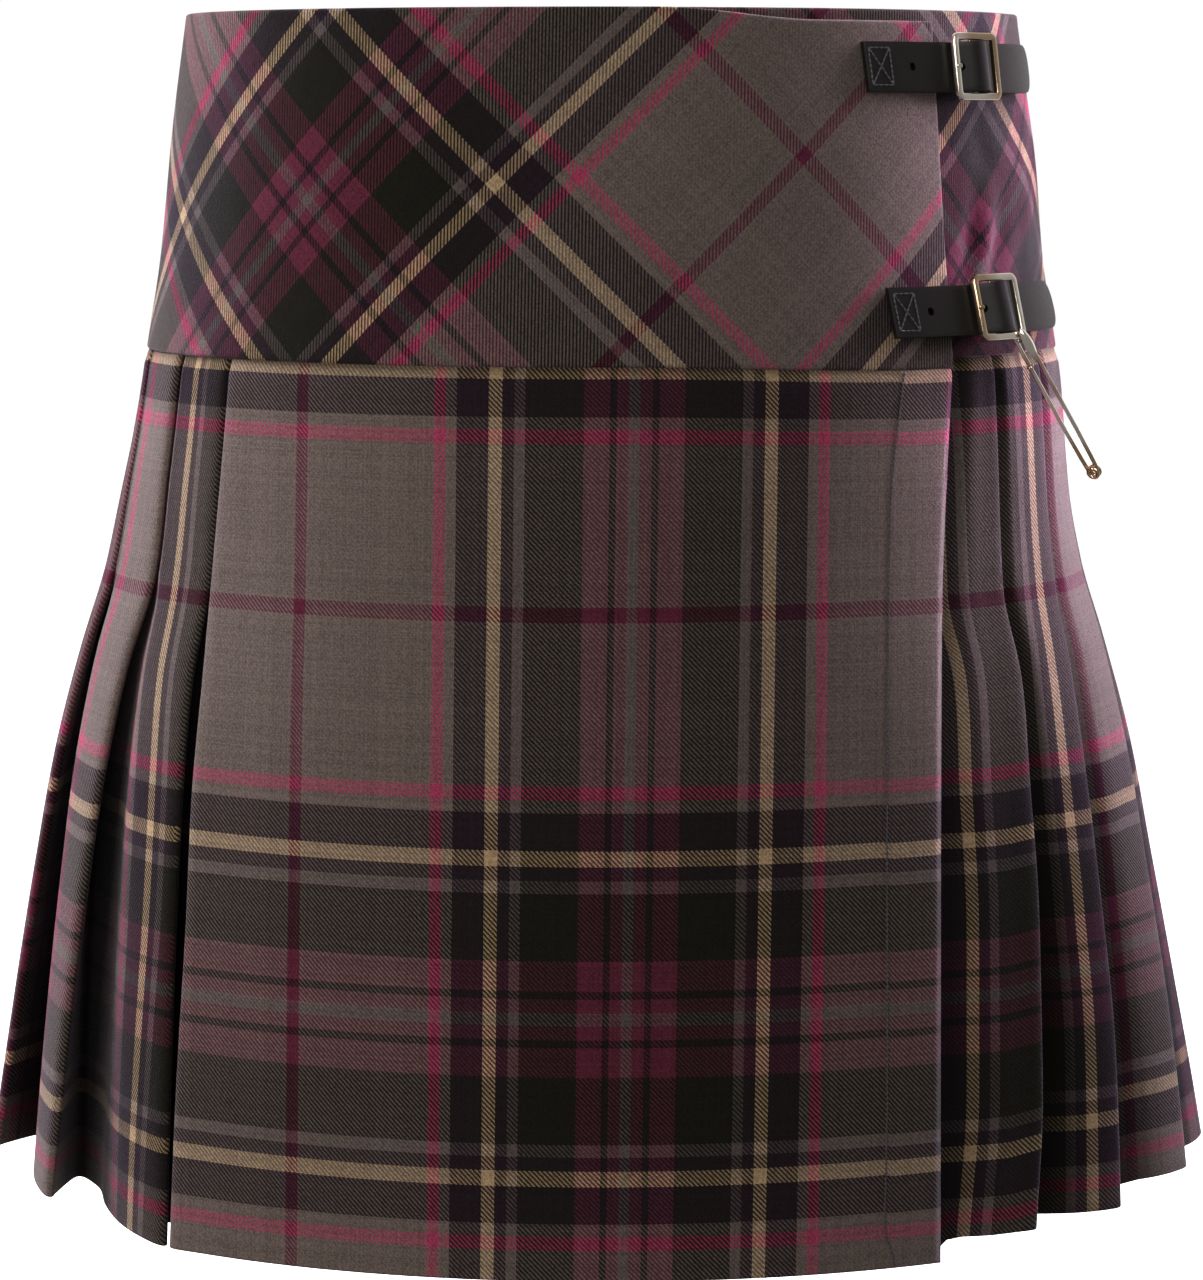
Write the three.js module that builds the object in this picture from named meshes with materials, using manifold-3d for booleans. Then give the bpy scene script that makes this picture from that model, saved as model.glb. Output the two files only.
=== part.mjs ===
// A mini kilt skirt, filled out as it is worn: a fitted bias yoke, a flat apron over an under-apron,
// knife pleats round the sides and back, two leather straps with buckles, and a kilt pin.
// Millimetres. Z = 0 is the waist's top edge, +Z is up, -Y is the wearer's front, and the middle of
// the waist is the origin. "Drop" is the distance below the top edge. "Along" is the distance round
// the outline from the middle of the front, growing to the +X side. "In" and "out" are measured
// from the outline at right angles to it.

import * as THREE from "three";
import { mergeVertices } from "three/addons/utils/BufferGeometryUtils.js";
import Module from "manifold-3d";

const wasm = await Module();
wasm.setup();

// Driving sizes
const LENGTH = 429;
const YOKE_HEIGHT = 120.2;
const SEAM_GAP = 0.4;
const STITCHED_TO = 199;
const CLOTH = 1.2;
const YOKE_WALL = 2.2;
const STRAP_WALL = 2;
const STRAP_HALF_WIDTH = 7.8;
const TAB_WALL = 1;
const TAB_HALF_WIDTH = 6.6;

// The outline's half width and half depth, and how far the pleats have opened, at each drop.
const OUTLINE = [
  { drop: 0, halfWidth: 150.5, halfDepth: 113 },
  { drop: 40, halfWidth: 156, halfDepth: 118.5 },
  { drop: 90, halfWidth: 161.5, halfDepth: 124 },
  { drop: 120, halfWidth: 166.5, halfDepth: 127.5 },
  { drop: 160, halfWidth: 172, halfDepth: 132 },
  { drop: 199, halfWidth: 179.5, halfDepth: 137 },
  { drop: 230, halfWidth: 189, halfDepth: 141.5 },
  { drop: 268, halfWidth: 199, halfDepth: 146 },
  { drop: 315, halfWidth: 208, halfDepth: 151 },
  { drop: 370, halfWidth: 217.5, halfDepth: 156 },
  { drop: 430, halfWidth: 227, halfDepth: 160.5 },
];

// Where the folds and free edges of the front lie, along the outline, at each drop.
const FOLDS = [
  { drop: 120, apronFold: -140, left1: -143.3, left2: -174.8, right1: 151.5, right2: 184.5, apronEdge: 131 },
  { drop: 160, apronFold: -143.3, left1: -146.6, left2: -179, right1: 153, right2: 186.8, apronEdge: 127.5 },
  { drop: 199, apronFold: -146.3, left1: -149.8, left2: -182.5, right1: 152.8, right2: 187, apronEdge: 124.3 },
  { drop: 230, apronFold: -147.8, left1: -155.6, left2: -194, right1: 159, right2: 190, apronEdge: 122.5 },
  { drop: 268, apronFold: -150.5, left1: -157.8, left2: -202.5, right1: 160.5, right2: 193, apronEdge: 121.2 },
  { drop: 315, apronFold: -152, left1: -159.2, left2: -210, right1: 163, right2: 198, apronEdge: 120.5 },
  { drop: 370, apronFold: -155, left1: -160, left2: -216.5, right1: 163, right2: 202, apronEdge: 120 },
  { drop: 430, apronFold: -157, left1: -160.5, left2: -221, right1: 159, right2: 201, apronEdge: 119.7 },
];

// The pleats from the second one on the right, round the back, to the first one on the left.
const PLEAT_COUNT = 18;
const PLEAT_NODES = [
  { name: "pleats_right", first: 1, last: 4 },
  { name: "pleats_back_right", first: 5, last: 9 },
  { name: "pleats_back_left", first: 10, last: 14 },
  { name: "pleats_left", first: 15, last: 18 },
];
const FOLD_SHARE = 0.74;
const OPEN_PITCH = 50;

// One pleat's centre line, from its hidden inner fold, out over the face, to the ridge and back in.
// "ridge" 0 measures from the ridge before it and 1 from its own. Sewn shut, a point lies "depths"
// fold depths and "shutOn" mm on from there; fallen open at the hem, "openOn" mm at a 50 mm pitch.
const PLEAT_LINE = [
  { ridge: 0, depths: -1, shutOn: -0.75, shutIn: 3.08, openOn: -13, openIn: 19.5 },
  { ridge: 0, depths: -1, shutOn: 0, shutIn: 3.9, openOn: -12, openIn: 21 },
  { ridge: 0, depths: -0.5, shutOn: 0, shutIn: 3.9, openOn: -5, openIn: 22 },
  { ridge: 0, depths: 0, shutOn: 0, shutIn: 3.9, openOn: 3, openIn: 21 },
  { ridge: 1, depths: -1, shutOn: -1.7, shutIn: 0.6, openOn: -36, openIn: 14 },
  { ridge: 1, depths: -1, shutOn: 0, shutIn: 0.6, openOn: -22, openIn: 6.5 },
  { ridge: 1, depths: -0.5, shutOn: 0, shutIn: 0.6, openOn: -10, openIn: 2.2 },
  { ridge: 1, depths: 0, shutOn: 0, shutIn: 0.6, openOn: -1, openIn: 0.6 },
  { ridge: 1, depths: 0, shutOn: 0.75, shutIn: 1.43, openOn: 0, openIn: 1.6 },
  { ridge: 1, depths: 0, shutOn: 0, shutIn: 2.25, openOn: -1.2, openIn: 3.2 },
  { ridge: 1, depths: -0.5, shutOn: 0, shutIn: 2.25, openOn: -7, openIn: 10.5 },
  { ridge: 1, depths: -1, shutOn: 0, shutIn: 2.25, openOn: -12, openIn: 17 },
];
const SKIRT_DROPS = [YOKE_HEIGHT + SEAM_GAP, 160, STITCHED_TO, 216, 245, 285, 330, 380, LENGTH];
const YOKE_DROPS = [0, 30, 60, 90, YOKE_HEIGHT];

// Colours
const TARTAN_GREY = 0x625a56;
const YOKE_GREY = 0x5c5254;
const LEATHER_BLACK = 0x17161a;
const NICKEL = 0xc9bfae;

// Reading the tables and the outline

function readTable(table, column, drop) {
  const last = table.length - 1;
  const below = table.findIndex((row) => row.drop >= drop);
  const j = below < 0 ? last : Math.max(1, below);
  const a = table[j - 1];
  const b = table[j];
  const share = (drop - a.drop) / (b.drop - a.drop);
  return a[column] + (b[column] - a[column]) * share;
}

const outlines = new Map();

// The outline at one drop, with the distance along it at each of STEPS equal turns.
function outlineAt(drop) {
  if (outlines.has(drop)) return outlines.get(drop);
  const STEPS = 720;
  const a = readTable(OUTLINE, "halfWidth", drop);
  const b = readTable(OUTLINE, "halfDepth", drop);
  const step = (2 * Math.PI) / STEPS;
  const speed = (t) => Math.hypot(a * Math.cos(t), b * Math.sin(t));
  const along = [0];
  for (let k = 1; k <= STEPS; k++) {
    along.push(along[k - 1] + ((speed((k - 1) * step) + speed(k * step)) / 2) * step);
  }
  const outline = { a, b, step, along, girth: along[STEPS] };
  outlines.set(drop, outline);
  return outline;
}

// The point at a distance along the outline, moved out.
function pointAt(drop, along, out) {
  const { a, b, step, along: sums, girth } = outlineAt(drop);
  const s = ((along % girth) + girth) % girth;
  let low = 0;
  let high = sums.length - 1;
  while (high - low > 1) {
    const middle = (low + high) >> 1;
    if (sums[middle] <= s) low = middle;
    else high = middle;
  }
  const t = (low + (s - sums[low]) / (sums[high] - sums[low])) * step;
  const slope = Math.hypot(b * Math.sin(t), a * Math.cos(t));
  const x = a * Math.sin(t) + (out * b * Math.sin(t)) / slope;
  const y = -b * Math.cos(t) - (out * a * Math.cos(t)) / slope;
  return new THREE.Vector3(x, y, -drop);
}

// How the skirt hangs

// How much higher a point hangs than in front, once the pleats have opened, and how much shorter
// the hem is cut. "along" is measured both ways from the middle of the front.
const HANG = [
  { along: -615, higher: 12, shorter: 3 },
  { along: -270, higher: 13.5, shorter: 3 },
  { along: -215, higher: 5, shorter: 3 },
  { along: -160, higher: 0, shorter: 2.4 },
  { along: 118, higher: 0, shorter: 2.3 },
  { along: 124, higher: 0, shorter: 8.5 },
  { along: 150, higher: 0, shorter: 8.5 },
  { along: 172, higher: 4, shorter: 5.4 },
  { along: 200, higher: 4.5, shorter: 5 },
  { along: 225, higher: 9, shorter: 4.2 },
  { along: 615, higher: 12, shorter: 3 },
];
const HEM_DEEP = 60;
const SIDE_WIDE = 70;
const LEFT_FULLER = 3.2;
const RIGHT_TIGHTER = 2.4;

function hangAt(column, along) {
  const j = Math.max(1, HANG.findIndex((row) => row.along >= along));
  const [a, b] = [HANG[j - 1], HANG[j]];
  return a[column] + ((b[column] - a[column]) * (along - a.along)) / (b.along - a.along);
}

// A point of the skirt, raised as its part of the hem hangs, and swung a little to the left.
function skirtPoint(drop, along, out) {
  const girth = outlineAt(drop).girth;
  const signed = THREE.MathUtils.euclideanModulo(along + girth / 2, girth) - girth / 2;
  const near = (side) => Math.exp(-(((signed - (side * girth) / 4) / SIDE_WIDE) ** 2));
  const fuller = LEFT_FULLER * near(-1) * smooth(121, 190, drop);
  const tighter = RIGHT_TIGHTER * near(1) * smooth(130, 185, drop) * (1 - smooth(300, 400, drop) / 2);
  const point = pointAt(drop, along, out + fuller - tighter);
  point.z += hangAt("higher", signed) * opened(drop);
  point.z += hangAt("shorter", signed) * smooth(LENGTH - HEM_DEEP, LENGTH, drop);
  return point;
}

// Cloth walls

// The two faces of a wall about a centre line, as lines of { along, out }.
function bothSides(line, wall) {
  const MITRE = 1.25;
  const sides = { outer: [], inner: [] };
  line.forEach((p, i) => {
    const before = line[Math.max(0, i - 1)];
    const after = line[Math.min(line.length - 1, i + 1)];
    const into = new THREE.Vector2(p.along - before.along, p.out - before.out).normalize();
    const onward = new THREE.Vector2(after.along - p.along, after.out - p.out).normalize();
    const way = into.clone().add(onward).normalize();
    const fit = i && i < line.length - 1 ? Math.min(MITRE, 1 / Math.max(0.5, way.dot(into))) : 1;
    const half = (wall / 2) * fit;
    sides.outer.push({ along: p.along - way.y * half, out: p.out + way.x * half });
    sides.inner.push({ along: p.along + way.y * half, out: p.out - way.x * half });
  });
  return sides;
}

// A closed wall from rows of centre lines, top row first. lower(row, point) is an added drop.
function clothWall(drops, lineAt, wall, lower = () => 0, point = pointAt) {
  const rows = drops.map((drop, j) => {
    const sides = bothSides(lineAt(drop, j), wall);
    const place = (p) => point(drop + lower(j, p), p.along, p.out);
    return { outer: sides.outer.map(place), inner: sides.inner.map(place) };
  });
  return wallFromRows(rows);
}

function skirtWall(lineAt) {
  return clothWall(SKIRT_DROPS, lineAt, CLOTH, () => 0, skirtPoint);
}

function wallFromRows(rows) {
  const across = rows[0].outer.length;
  const down = rows.length;
  const points = [];
  for (const row of rows) {
    for (const p of [...row.outer, ...row.inner]) points.push(p.x, p.y, p.z);
  }
  const outer = (j, i) => j * 2 * across + i;
  const inner = (j, i) => j * 2 * across + across + i;
  const index = [];
  const quad = (a, b, c, d) => index.push(a, b, c, a, c, d);
  for (let j = 0; j < down - 1; j++) {
    for (let i = 0; i < across - 1; i++) {
      quad(outer(j, i), outer(j + 1, i), outer(j + 1, i + 1), outer(j, i + 1));
      quad(inner(j, i), inner(j, i + 1), inner(j + 1, i + 1), inner(j + 1, i));
    }
    quad(inner(j, 0), inner(j + 1, 0), outer(j + 1, 0), outer(j, 0));
    const end = across - 1;
    quad(outer(j, end), outer(j + 1, end), inner(j + 1, end), inner(j, end));
  }
  const foot = down - 1;
  for (let i = 0; i < across - 1; i++) {
    quad(outer(0, i), outer(0, i + 1), inner(0, i + 1), inner(0, i));
    quad(outer(foot, i), inner(foot, i), inner(foot, i + 1), outer(foot, i + 1));
  }
  const geometry = new THREE.BufferGeometry();
  geometry.setAttribute("position", new THREE.Float32BufferAttribute(points, 3));
  geometry.setIndex(index);
  geometry.computeVertexNormals();
  return geometry;
}

// Evenly spaced points of a line between two places, with the distance out from a function.
function evenLine(from, to, count, outAt) {
  const line = [];
  for (let i = 0; i <= count; i++) {
    const along = from + ((to - from) * i) / count;
    line.push({ along, out: outAt(along) });
  }
  return line;
}

const smooth = (low, high, x) => THREE.MathUtils.smoothstep(x, low, high);

// Joining and cutting

function solidOf(geometry, matrix = new THREE.Matrix4()) {
  const bare = new THREE.BufferGeometry();
  bare.setAttribute("position", geometry.getAttribute("position").clone());
  if (geometry.index) bare.setIndex(geometry.index.clone());
  bare.applyMatrix4(matrix);
  const merged = mergeVertices(bare, 1e-4);
  return new wasm.Manifold(
    new wasm.Mesh({
      numProp: 3,
      vertProperties: merged.attributes.position.array,
      triVerts: new Uint32Array(merged.index.array),
    }),
  );
}

function geometryOf(solid) {
  const mesh = solid.getMesh();
  const geometry = new THREE.BufferGeometry();
  geometry.setAttribute("position", new THREE.BufferAttribute(mesh.vertProperties, 3));
  geometry.setIndex(new THREE.BufferAttribute(mesh.triVerts, 1));
  const faceted = geometry.toNonIndexed();
  faceted.computeVertexNormals();
  return faceted;
}

// Yoke: front, back and the under layer that shows right of the free edge

const OVER_EDGE_TOP = 123;
const OVER_EDGE_FOOT = 131;
const TOP_SAG = 4;
const UNDER_IN = 4.2;

const quarterOf = (drop) => outlineAt(drop).girth / 4;

function overYokeLine(drop) {
  const edge = OVER_EDGE_TOP + ((OVER_EDGE_FOOT - OVER_EDGE_TOP) * drop) / YOKE_HEIGHT;
  return evenLine(-quarterOf(drop) + 0.2, edge, 28, () => -YOKE_WALL / 2);
}

// The top edge sinks a little beside the buckles, where the strap pulls on it.
function overYokeSag(row, p) {
  return row === 0 ? TOP_SAG * smooth(20, 75, p.along) : 0;
}

function backYokeLine(drop) {
  const quarter = quarterOf(drop);
  return evenLine(quarter + 0.2, 3 * quarter - 0.2, 26, () => -YOKE_WALL / 2);
}

// Just inside the over layer, and out to the outline where it meets the back at the side.
function underYokeIn(drop, along) {
  const shown = smooth(178, quarterOf(drop) - 6, along);
  return -UNDER_IN + (UNDER_IN - YOKE_WALL / 2) * shown;
}

function underYokeLine(drop) {
  const end = quarterOf(drop) - 0.2;
  return evenLine(-96, end, 30, (along) => underYokeIn(drop, along));
}

// Aprons and pleats

function opened(drop) {
  const share = Math.max(0, drop - STITCHED_TO) / (LENGTH - STITCHED_TO);
  return Math.min(1, share ** 0.7);
}

// The ridges in order round the skirt: 0 is the under-apron's own, and the last is left1.
function ridgeAt(k, drop) {
  const girth = outlineAt(drop).girth;
  const fold = (name) => readTable(FOLDS, name, drop);
  if (k === 0) return fold("right1");
  if (k === PLEAT_COUNT) return girth + fold("left1");
  const first = fold("right2");
  const last = girth + fold("left2");
  return first + ((last - first) * (k - 1)) / (PLEAT_COUNT - 2);
}

// The spacing up to a ridge, and how deep the fold behind it runs.
function pitchAt(k, drop) {
  return k === 0 ? ridgeAt(1, drop) - ridgeAt(0, drop) : ridgeAt(k, drop) - ridgeAt(k - 1, drop);
}

const UNDER_APRON_RISE = 9.5;
function depthAt(k, drop) {
  if (k > 0) return pitchAt(k, drop) * FOLD_SHARE;
  return ridgeAt(0, drop) - readTable(FOLDS, "apronEdge", drop) - UNDER_APRON_RISE;
}

// Some rows of PLEAT_LINE as points, measured from one ridge.
function foldPoints(rows, k, drop) {
  const ridge = ridgeAt(k, drop);
  const depth = depthAt(k, drop);
  const spread = pitchAt(k, drop) / OPEN_PITCH;
  const open = opened(drop);
  return rows.map((row) => {
    const shut = ridge + row.depths * depth + row.shutOn;
    const fallen = ridge + row.openOn * spread;
    return {
      along: shut + (fallen - shut) * open,
      out: -(row.shutIn + (row.openIn - row.shutIn) * open),
    };
  });
}

const LOWER_ROWS = PLEAT_LINE.filter((row) => row.ridge === 0);
const UPPER_ROWS = PLEAT_LINE.filter((row) => row.ridge === 1);
const lowerLayer = (k, drop) => foldPoints(LOWER_ROWS, k, drop);
const upperLayers = (k, drop) => foldPoints(UPPER_ROWS, k, drop);

function pleatPanelLine({ first, last }, drop) {
  const line = [];
  for (let k = first; k <= last; k++) {
    line.push(...lowerLayer(k - 1, drop), ...upperLayers(k, drop));
  }
  line.shift();
  if (last < PLEAT_COUNT) line.push(lowerLayer(last, drop)[0]);
  else line.push(...boxFloor(drop));
  return line;
}

// The floor of the inverted pleat, from under left1 to under the apron's fold.
const BOX_UNDER_APRON = 26;
function boxFloor(drop) {
  const fold = outlineAt(drop).girth + readTable(FOLDS, "apronFold", drop);
  const open = opened(drop);
  const sink = (shut, fallen) => -(shut + (fallen - shut) * open);
  return [
    ...lowerLayer(PLEAT_COUNT, drop),
    { along: fold + BOX_UNDER_APRON / 2, out: sink(3.9, 17) },
    { along: fold + BOX_UNDER_APRON, out: sink(3.9, 13.5) },
  ];
}

// The apron's fold turns in to the left and runs back under it; the right edge is free.
const APRON_STEPS = 16;
function overApronLine(drop) {
  const fold = readTable(FOLDS, "apronFold", drop);
  const edge = readTable(FOLDS, "apronEdge", drop);
  const open = opened(drop);
  const back = (shut, fallen) => -(shut + (fallen - shut) * open);
  const folded = [
    { along: fold + BOX_UNDER_APRON, out: back(2.25, 9.5) },
    { along: fold + BOX_UNDER_APRON / 2, out: back(2.25, 6.5) },
    { along: fold, out: back(2.25, 2.9) },
    { along: fold - 0.75, out: back(1.43, 1.7) },
    { along: fold, out: -CLOTH / 2 },
    { along: fold + BOX_UNDER_APRON / 2, out: -CLOTH / 2 },
  ];
  return [...folded, ...evenLine(fold + BOX_UNDER_APRON, edge, APRON_STEPS, () => -CLOTH / 2)];
}

// The under-apron lies inside the apron, and its right end is the first pleat.
const UNDER_APRON_START = -98;
const UNDER_APRON_STEPS = 14;
const UNDER_APRON_IN = { shut: 3.9, open: 9 };
function underApronLine(drop) {
  const edge = readTable(FOLDS, "apronEdge", drop);
  const sunk = UNDER_APRON_IN.shut + (UNDER_APRON_IN.open - UNDER_APRON_IN.shut) * opened(drop);
  const hidden = evenLine(UNDER_APRON_START, edge + 1.5, UNDER_APRON_STEPS, () => -sunk);
  const shown = foldPoints(UPPER_ROWS.slice(1), 0, drop);
  shown[0].along = Math.max(shown[0].along, edge + 8);
  shown[0].out = -CLOTH / 2 - 3 * opened(drop);
  return [...hidden, ...shown, lowerLayer(0, drop)[0]];
}

// Straps, in the buckle's own terms: "on" is the distance along from the buckle's middle

const STRAPS = [
  { name: "upper", drop: 20, buckleAlong: 140.5, endOn: -48, holeOn: -29, tipOn: 52, tip: 0 },
  { name: "lower", drop: 103.5, buckleAlong: 149, endOn: -47, holeOn: -31, tipOn: 50, tip: 0.1 },
];
const STRAP_STEPS = 7;
const STRAP_TIP_CUT = 3.5;
const standOf = (strap) => standAt(strap.drop, strap.buckleAlong, strap.tip);

// How the strap runs: flat on the yoke, under the frame, over the middle bar, under the frame again.
const STRAP_RUN = [
  { on: -13.5, out: 1.7 },
  { on: -9.4, out: 1.9 },
  { on: -5.2, out: 4.2 },
  { on: -2.4, out: 6 },
  { on: 0.5, out: 6.6 },
  { on: 3.2, out: 5.9 },
  { on: 6, out: 3.8 },
  { on: 9.4, out: 2 },
  { on: 13.5, out: 1.7 },
];
const TAB_LAYERS = { upper: -0.4, lower: -1.7 };
const BAR = { out: 3, radius: 0.9, clear: 0.25 };

// A point over the buckle's place: on along, height up the slope, and out at right angles to it.
function onSlope(strap, on, height, out) {
  const facing = new THREE.Vector3().setFromMatrixColumn(standOf(strap), 2);
  const lean = facing.z / Math.hypot(facing.x, facing.y);
  const tipped = out + strap.tip * (STRAP_HALF_WIDTH - height);
  const drop = strap.drop - height;
  const middle = (strap.buckleAlong * outlineAt(drop).girth) / outlineAt(strap.drop).girth;
  const point = pointAt(drop, middle + on, tipped);
  point.z += out * lean;
  return point;
}

// A leather wall along a centre line, with its square or rounded ends.
function leatherWall(strap, line, wall, halfWidth, endCut) {
  const { outer, inner } = bothSides(line, wall);
  const tip = line.at(-1).along;
  const rows = [1, 0.35, -0.35, -1].map((share) => {
    const height = share * halfWidth;
    const place = (p) => {
      const cut = Math.abs(share) === 1 && p.along > tip - 1.5 ? endCut : 0;
      return onSlope(strap, p.along - cut, height, p.out);
    };
    return { outer: outer.map(place), inner: inner.map(place) };
  });
  return wallFromRows(rows);
}

function strapWall(strap) {
  const line = [
    ...evenLine(strap.endOn, STRAP_RUN[0].on - 4, STRAP_STEPS, () => STRAP_WALL / 2 + 0.35),
    ...STRAP_RUN.map((p) => ({ along: p.on, out: p.out })),
    ...evenLine(STRAP_RUN.at(-1).on + 5, strap.tipOn, STRAP_STEPS, () => STRAP_WALL / 2 + 0.4),
  ];
  return leatherWall(strap, line, STRAP_WALL, STRAP_HALF_WIDTH, STRAP_TIP_CUT);
}

// A frame standing on the outline: x along it, y up it and z out of it.
function standAt(drop, along, tip) {
  const REACH = 4;
  const origin = pointAt(drop, along, 0);
  const x = pointAt(drop, along + REACH, 0).sub(pointAt(drop, along - REACH, 0)).normalize();
  const t = along / outlineAt(drop).girth;
  const above = pointAt(drop - REACH, t * outlineAt(drop - REACH).girth, tip * -REACH);
  const below = pointAt(drop + REACH, t * outlineAt(drop + REACH).girth, tip * REACH);
  const rise = above.sub(below);
  const z = new THREE.Vector3().crossVectors(x, rise).normalize();
  const y = new THREE.Vector3().crossVectors(z, x);
  return new THREE.Matrix4().makeBasis(x, y, z).setPosition(origin);
}

// Buckle: a rounded frame with a middle bar, a prong on the bar, and the leather tab that holds it

const FRAME_HALF_WIDTH = 12.5;
const FRAME_HALF_HEIGHT = 12.3;
const FRAME_BAND = 2.1;
const FRAME_DEPTH = 2;
const FRAME_OUT = 4.4;
const FRAME_CORNER = 2.6;
const PRONG_HALF_WIDTH = 0.9;

function roundedBox(path, halfWidth, halfHeight, corner) {
  path.moveTo(-halfWidth + corner, -halfHeight);
  path.lineTo(halfWidth - corner, -halfHeight);
  path.absarc(halfWidth - corner, -halfHeight + corner, corner, -Math.PI / 2, 0, false);
  path.lineTo(halfWidth, halfHeight - corner);
  path.absarc(halfWidth - corner, halfHeight - corner, corner, 0, Math.PI / 2, false);
  path.lineTo(-halfWidth + corner, halfHeight);
  path.absarc(-halfWidth + corner, halfHeight - corner, corner, Math.PI / 2, Math.PI, false);
  path.lineTo(-halfWidth, -halfHeight + corner);
  path.absarc(-halfWidth + corner, -halfHeight + corner, corner, Math.PI, 1.5 * Math.PI, false);
  return path;
}

function buckleSolid() {
  const outer = roundedBox(new THREE.Shape(), FRAME_HALF_WIDTH, FRAME_HALF_HEIGHT, FRAME_CORNER);
  const inside = [FRAME_HALF_WIDTH - FRAME_BAND, FRAME_HALF_HEIGHT - FRAME_BAND, 0.8];
  outer.holes.push(roundedBox(new THREE.Path(), ...inside));
  const ring = new THREE.ExtrudeGeometry(outer, {
    depth: FRAME_DEPTH,
    curveSegments: 3,
    bevelEnabled: false,
  });
  ring.translate(0, 0, FRAME_OUT - FRAME_DEPTH / 2);
  const length = 2 * (FRAME_HALF_HEIGHT - FRAME_BAND / 2);
  const bar = new THREE.CylinderGeometry(BAR.radius, BAR.radius, length, 10);
  bar.translate(0, 0, BAR.out);
  return solidOf(ring).add(solidOf(bar));
}

// A flat outline in the along-and-out plane, given a height up the strap.
function uprightSolid(outline, halfHeight) {
  const shape = new THREE.Shape(outline.map(([on, out]) => new THREE.Vector2(on, out)));
  const slab = new THREE.ExtrudeGeometry(shape, { depth: 2 * halfHeight, bevelEnabled: false });
  slab.translate(0, 0, -halfHeight);
  const stand = new THREE.Matrix4().makeRotationX(Math.PI / 2);
  return solidOf(slab, stand);
}

function ringOutline(radius, sides) {
  const outline = [];
  for (let k = 0; k < sides; k++) {
    const turn = (2 * Math.PI * k) / sides;
    outline.push([radius * Math.cos(turn), BAR.out + radius * Math.sin(turn)]);
  }
  return outline;
}

// The prong's middle line: off the bar, up through the strap's hole, and onto the frame.
const PRONG_LINE = [
  [-0.9, 4.7],
  [-4.4, 6.2],
  [-8, 6.7],
  [-13, 6.4],
];
const PRONG_THICK = 1.3;

function prongArm(thick, halfWidth) {
  const line = PRONG_LINE.map(([along, out]) => ({ along, out }));
  const { outer, inner } = bothSides(line, thick);
  const outline = [...outer.reverse(), ...inner].map((p) => [p.along, p.out]);
  return uprightSolid(outline, halfWidth);
}

function prongSolid() {
  const eye = uprightSolid(ringOutline(BAR.radius + BAR.clear + TAB_WALL, 12), PRONG_HALF_WIDTH);
  const hole = uprightSolid(ringOutline(BAR.radius + BAR.clear, 12), PRONG_HALF_WIDTH + 1);
  return eye.add(prongArm(PRONG_THICK, PRONG_HALF_WIDTH)).subtract(hole);
}

// The tab goes round the bar and both its ends lie flat under the strap, where they are sewn.
const TAB_STEPS = 4;
function tabSolid(strap) {
  const loop = BAR.radius + BAR.clear + TAB_WALL / 2;
  const line = [
    ...evenLine(34, 6, TAB_STEPS, () => TAB_LAYERS.upper),
    { along: 3.6, out: 0.6 },
  ];
  for (let turn = -10; turn <= 240; turn += 25) {
    const angle = THREE.MathUtils.degToRad(turn);
    line.push({ along: loop * Math.cos(angle), out: BAR.out + loop * Math.sin(angle) });
  }
  line.push({ along: 1.2, out: -0.6 });
  line.push(...evenLine(6, 34, TAB_STEPS, () => TAB_LAYERS.lower));
  const slot = new THREE.BoxGeometry(8, 2 * PRONG_HALF_WIDTH + 0.8, 8);
  slot.translate(-1, 0, BAR.out + 1);
  const leather = leatherWall(strap, line.reverse(), TAB_WALL, TAB_HALF_WIDTH, 0);
  return solidOf(leather).subtract(solidOf(slot, standOf(strap)));
}

// Kilt pin: a closed safety pin hung on the lower buckle's bottom bar, leaning along the skirt

const PIN_LENGTH = 64;
const PIN_ARMS_APART = 4.8;
const PIN_WIRE = 1.5;
const PIN_ON = 9.2;
const PIN_LEAN = 30;
const PIN_ABOVE_BAR = 2.7;
const PIN_CAP = 15;

function pinSolid() {
  const half = (PIN_ARMS_APART + PIN_WIRE) / 2;
  const ring = roundedBox(new THREE.Shape(), half, PIN_LENGTH / 2, half - 0.1);
  const inside = [half - PIN_WIRE, PIN_LENGTH / 2 - 1, 0.8];
  ring.holes.push(roundedBox(new THREE.Path(), ...inside));
  const wire = new THREE.ExtrudeGeometry(ring, {
    depth: PIN_WIRE,
    curveSegments: 4,
    bevelEnabled: false,
  });
  wire.translate(0, -PIN_LENGTH / 2, -PIN_WIRE / 2);
  const cap = new THREE.BoxGeometry(1.2, PIN_CAP - 5, 4.4);
  cap.translate(half - 0.6, -PIN_CAP / 2 - 2.5, 0);
  const coil = new THREE.CylinderGeometry(2.6, 2.6, 3, 12).rotateX(Math.PI / 2);
  coil.translate(0, 2.9 - PIN_LENGTH, 0);
  return solidOf(wire).add(solidOf(cap)).add(solidOf(coil));
}

// The whole skirt

const skirt = new THREE.Group();

function addPiece(parent, name, geometry, colour, roughness, metalness) {
  const material = new THREE.MeshStandardMaterial({ color: colour, roughness, metalness });
  const mesh = new THREE.Mesh(geometry, material);
  mesh.name = name;
  parent.add(mesh);
  return mesh;
}

const cloth = (name, geometry, colour) => addPiece(skirt, name, geometry, colour, 0.95, 0);

cloth("yoke_over", clothWall(YOKE_DROPS, overYokeLine, YOKE_WALL, overYokeSag), YOKE_GREY);
cloth("yoke_back", clothWall(YOKE_DROPS, backYokeLine, YOKE_WALL), YOKE_GREY);
cloth("yoke_under", clothWall(YOKE_DROPS, underYokeLine, YOKE_WALL), YOKE_GREY);
cloth("apron_over", skirtWall(overApronLine), TARTAN_GREY);
cloth("apron_under", skirtWall(underApronLine), TARTAN_GREY);
for (const panel of PLEAT_NODES) {
  const wall = skirtWall((drop) => pleatPanelLine(panel, drop));
  cloth(panel.name, wall, TARTAN_GREY);
}

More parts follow.
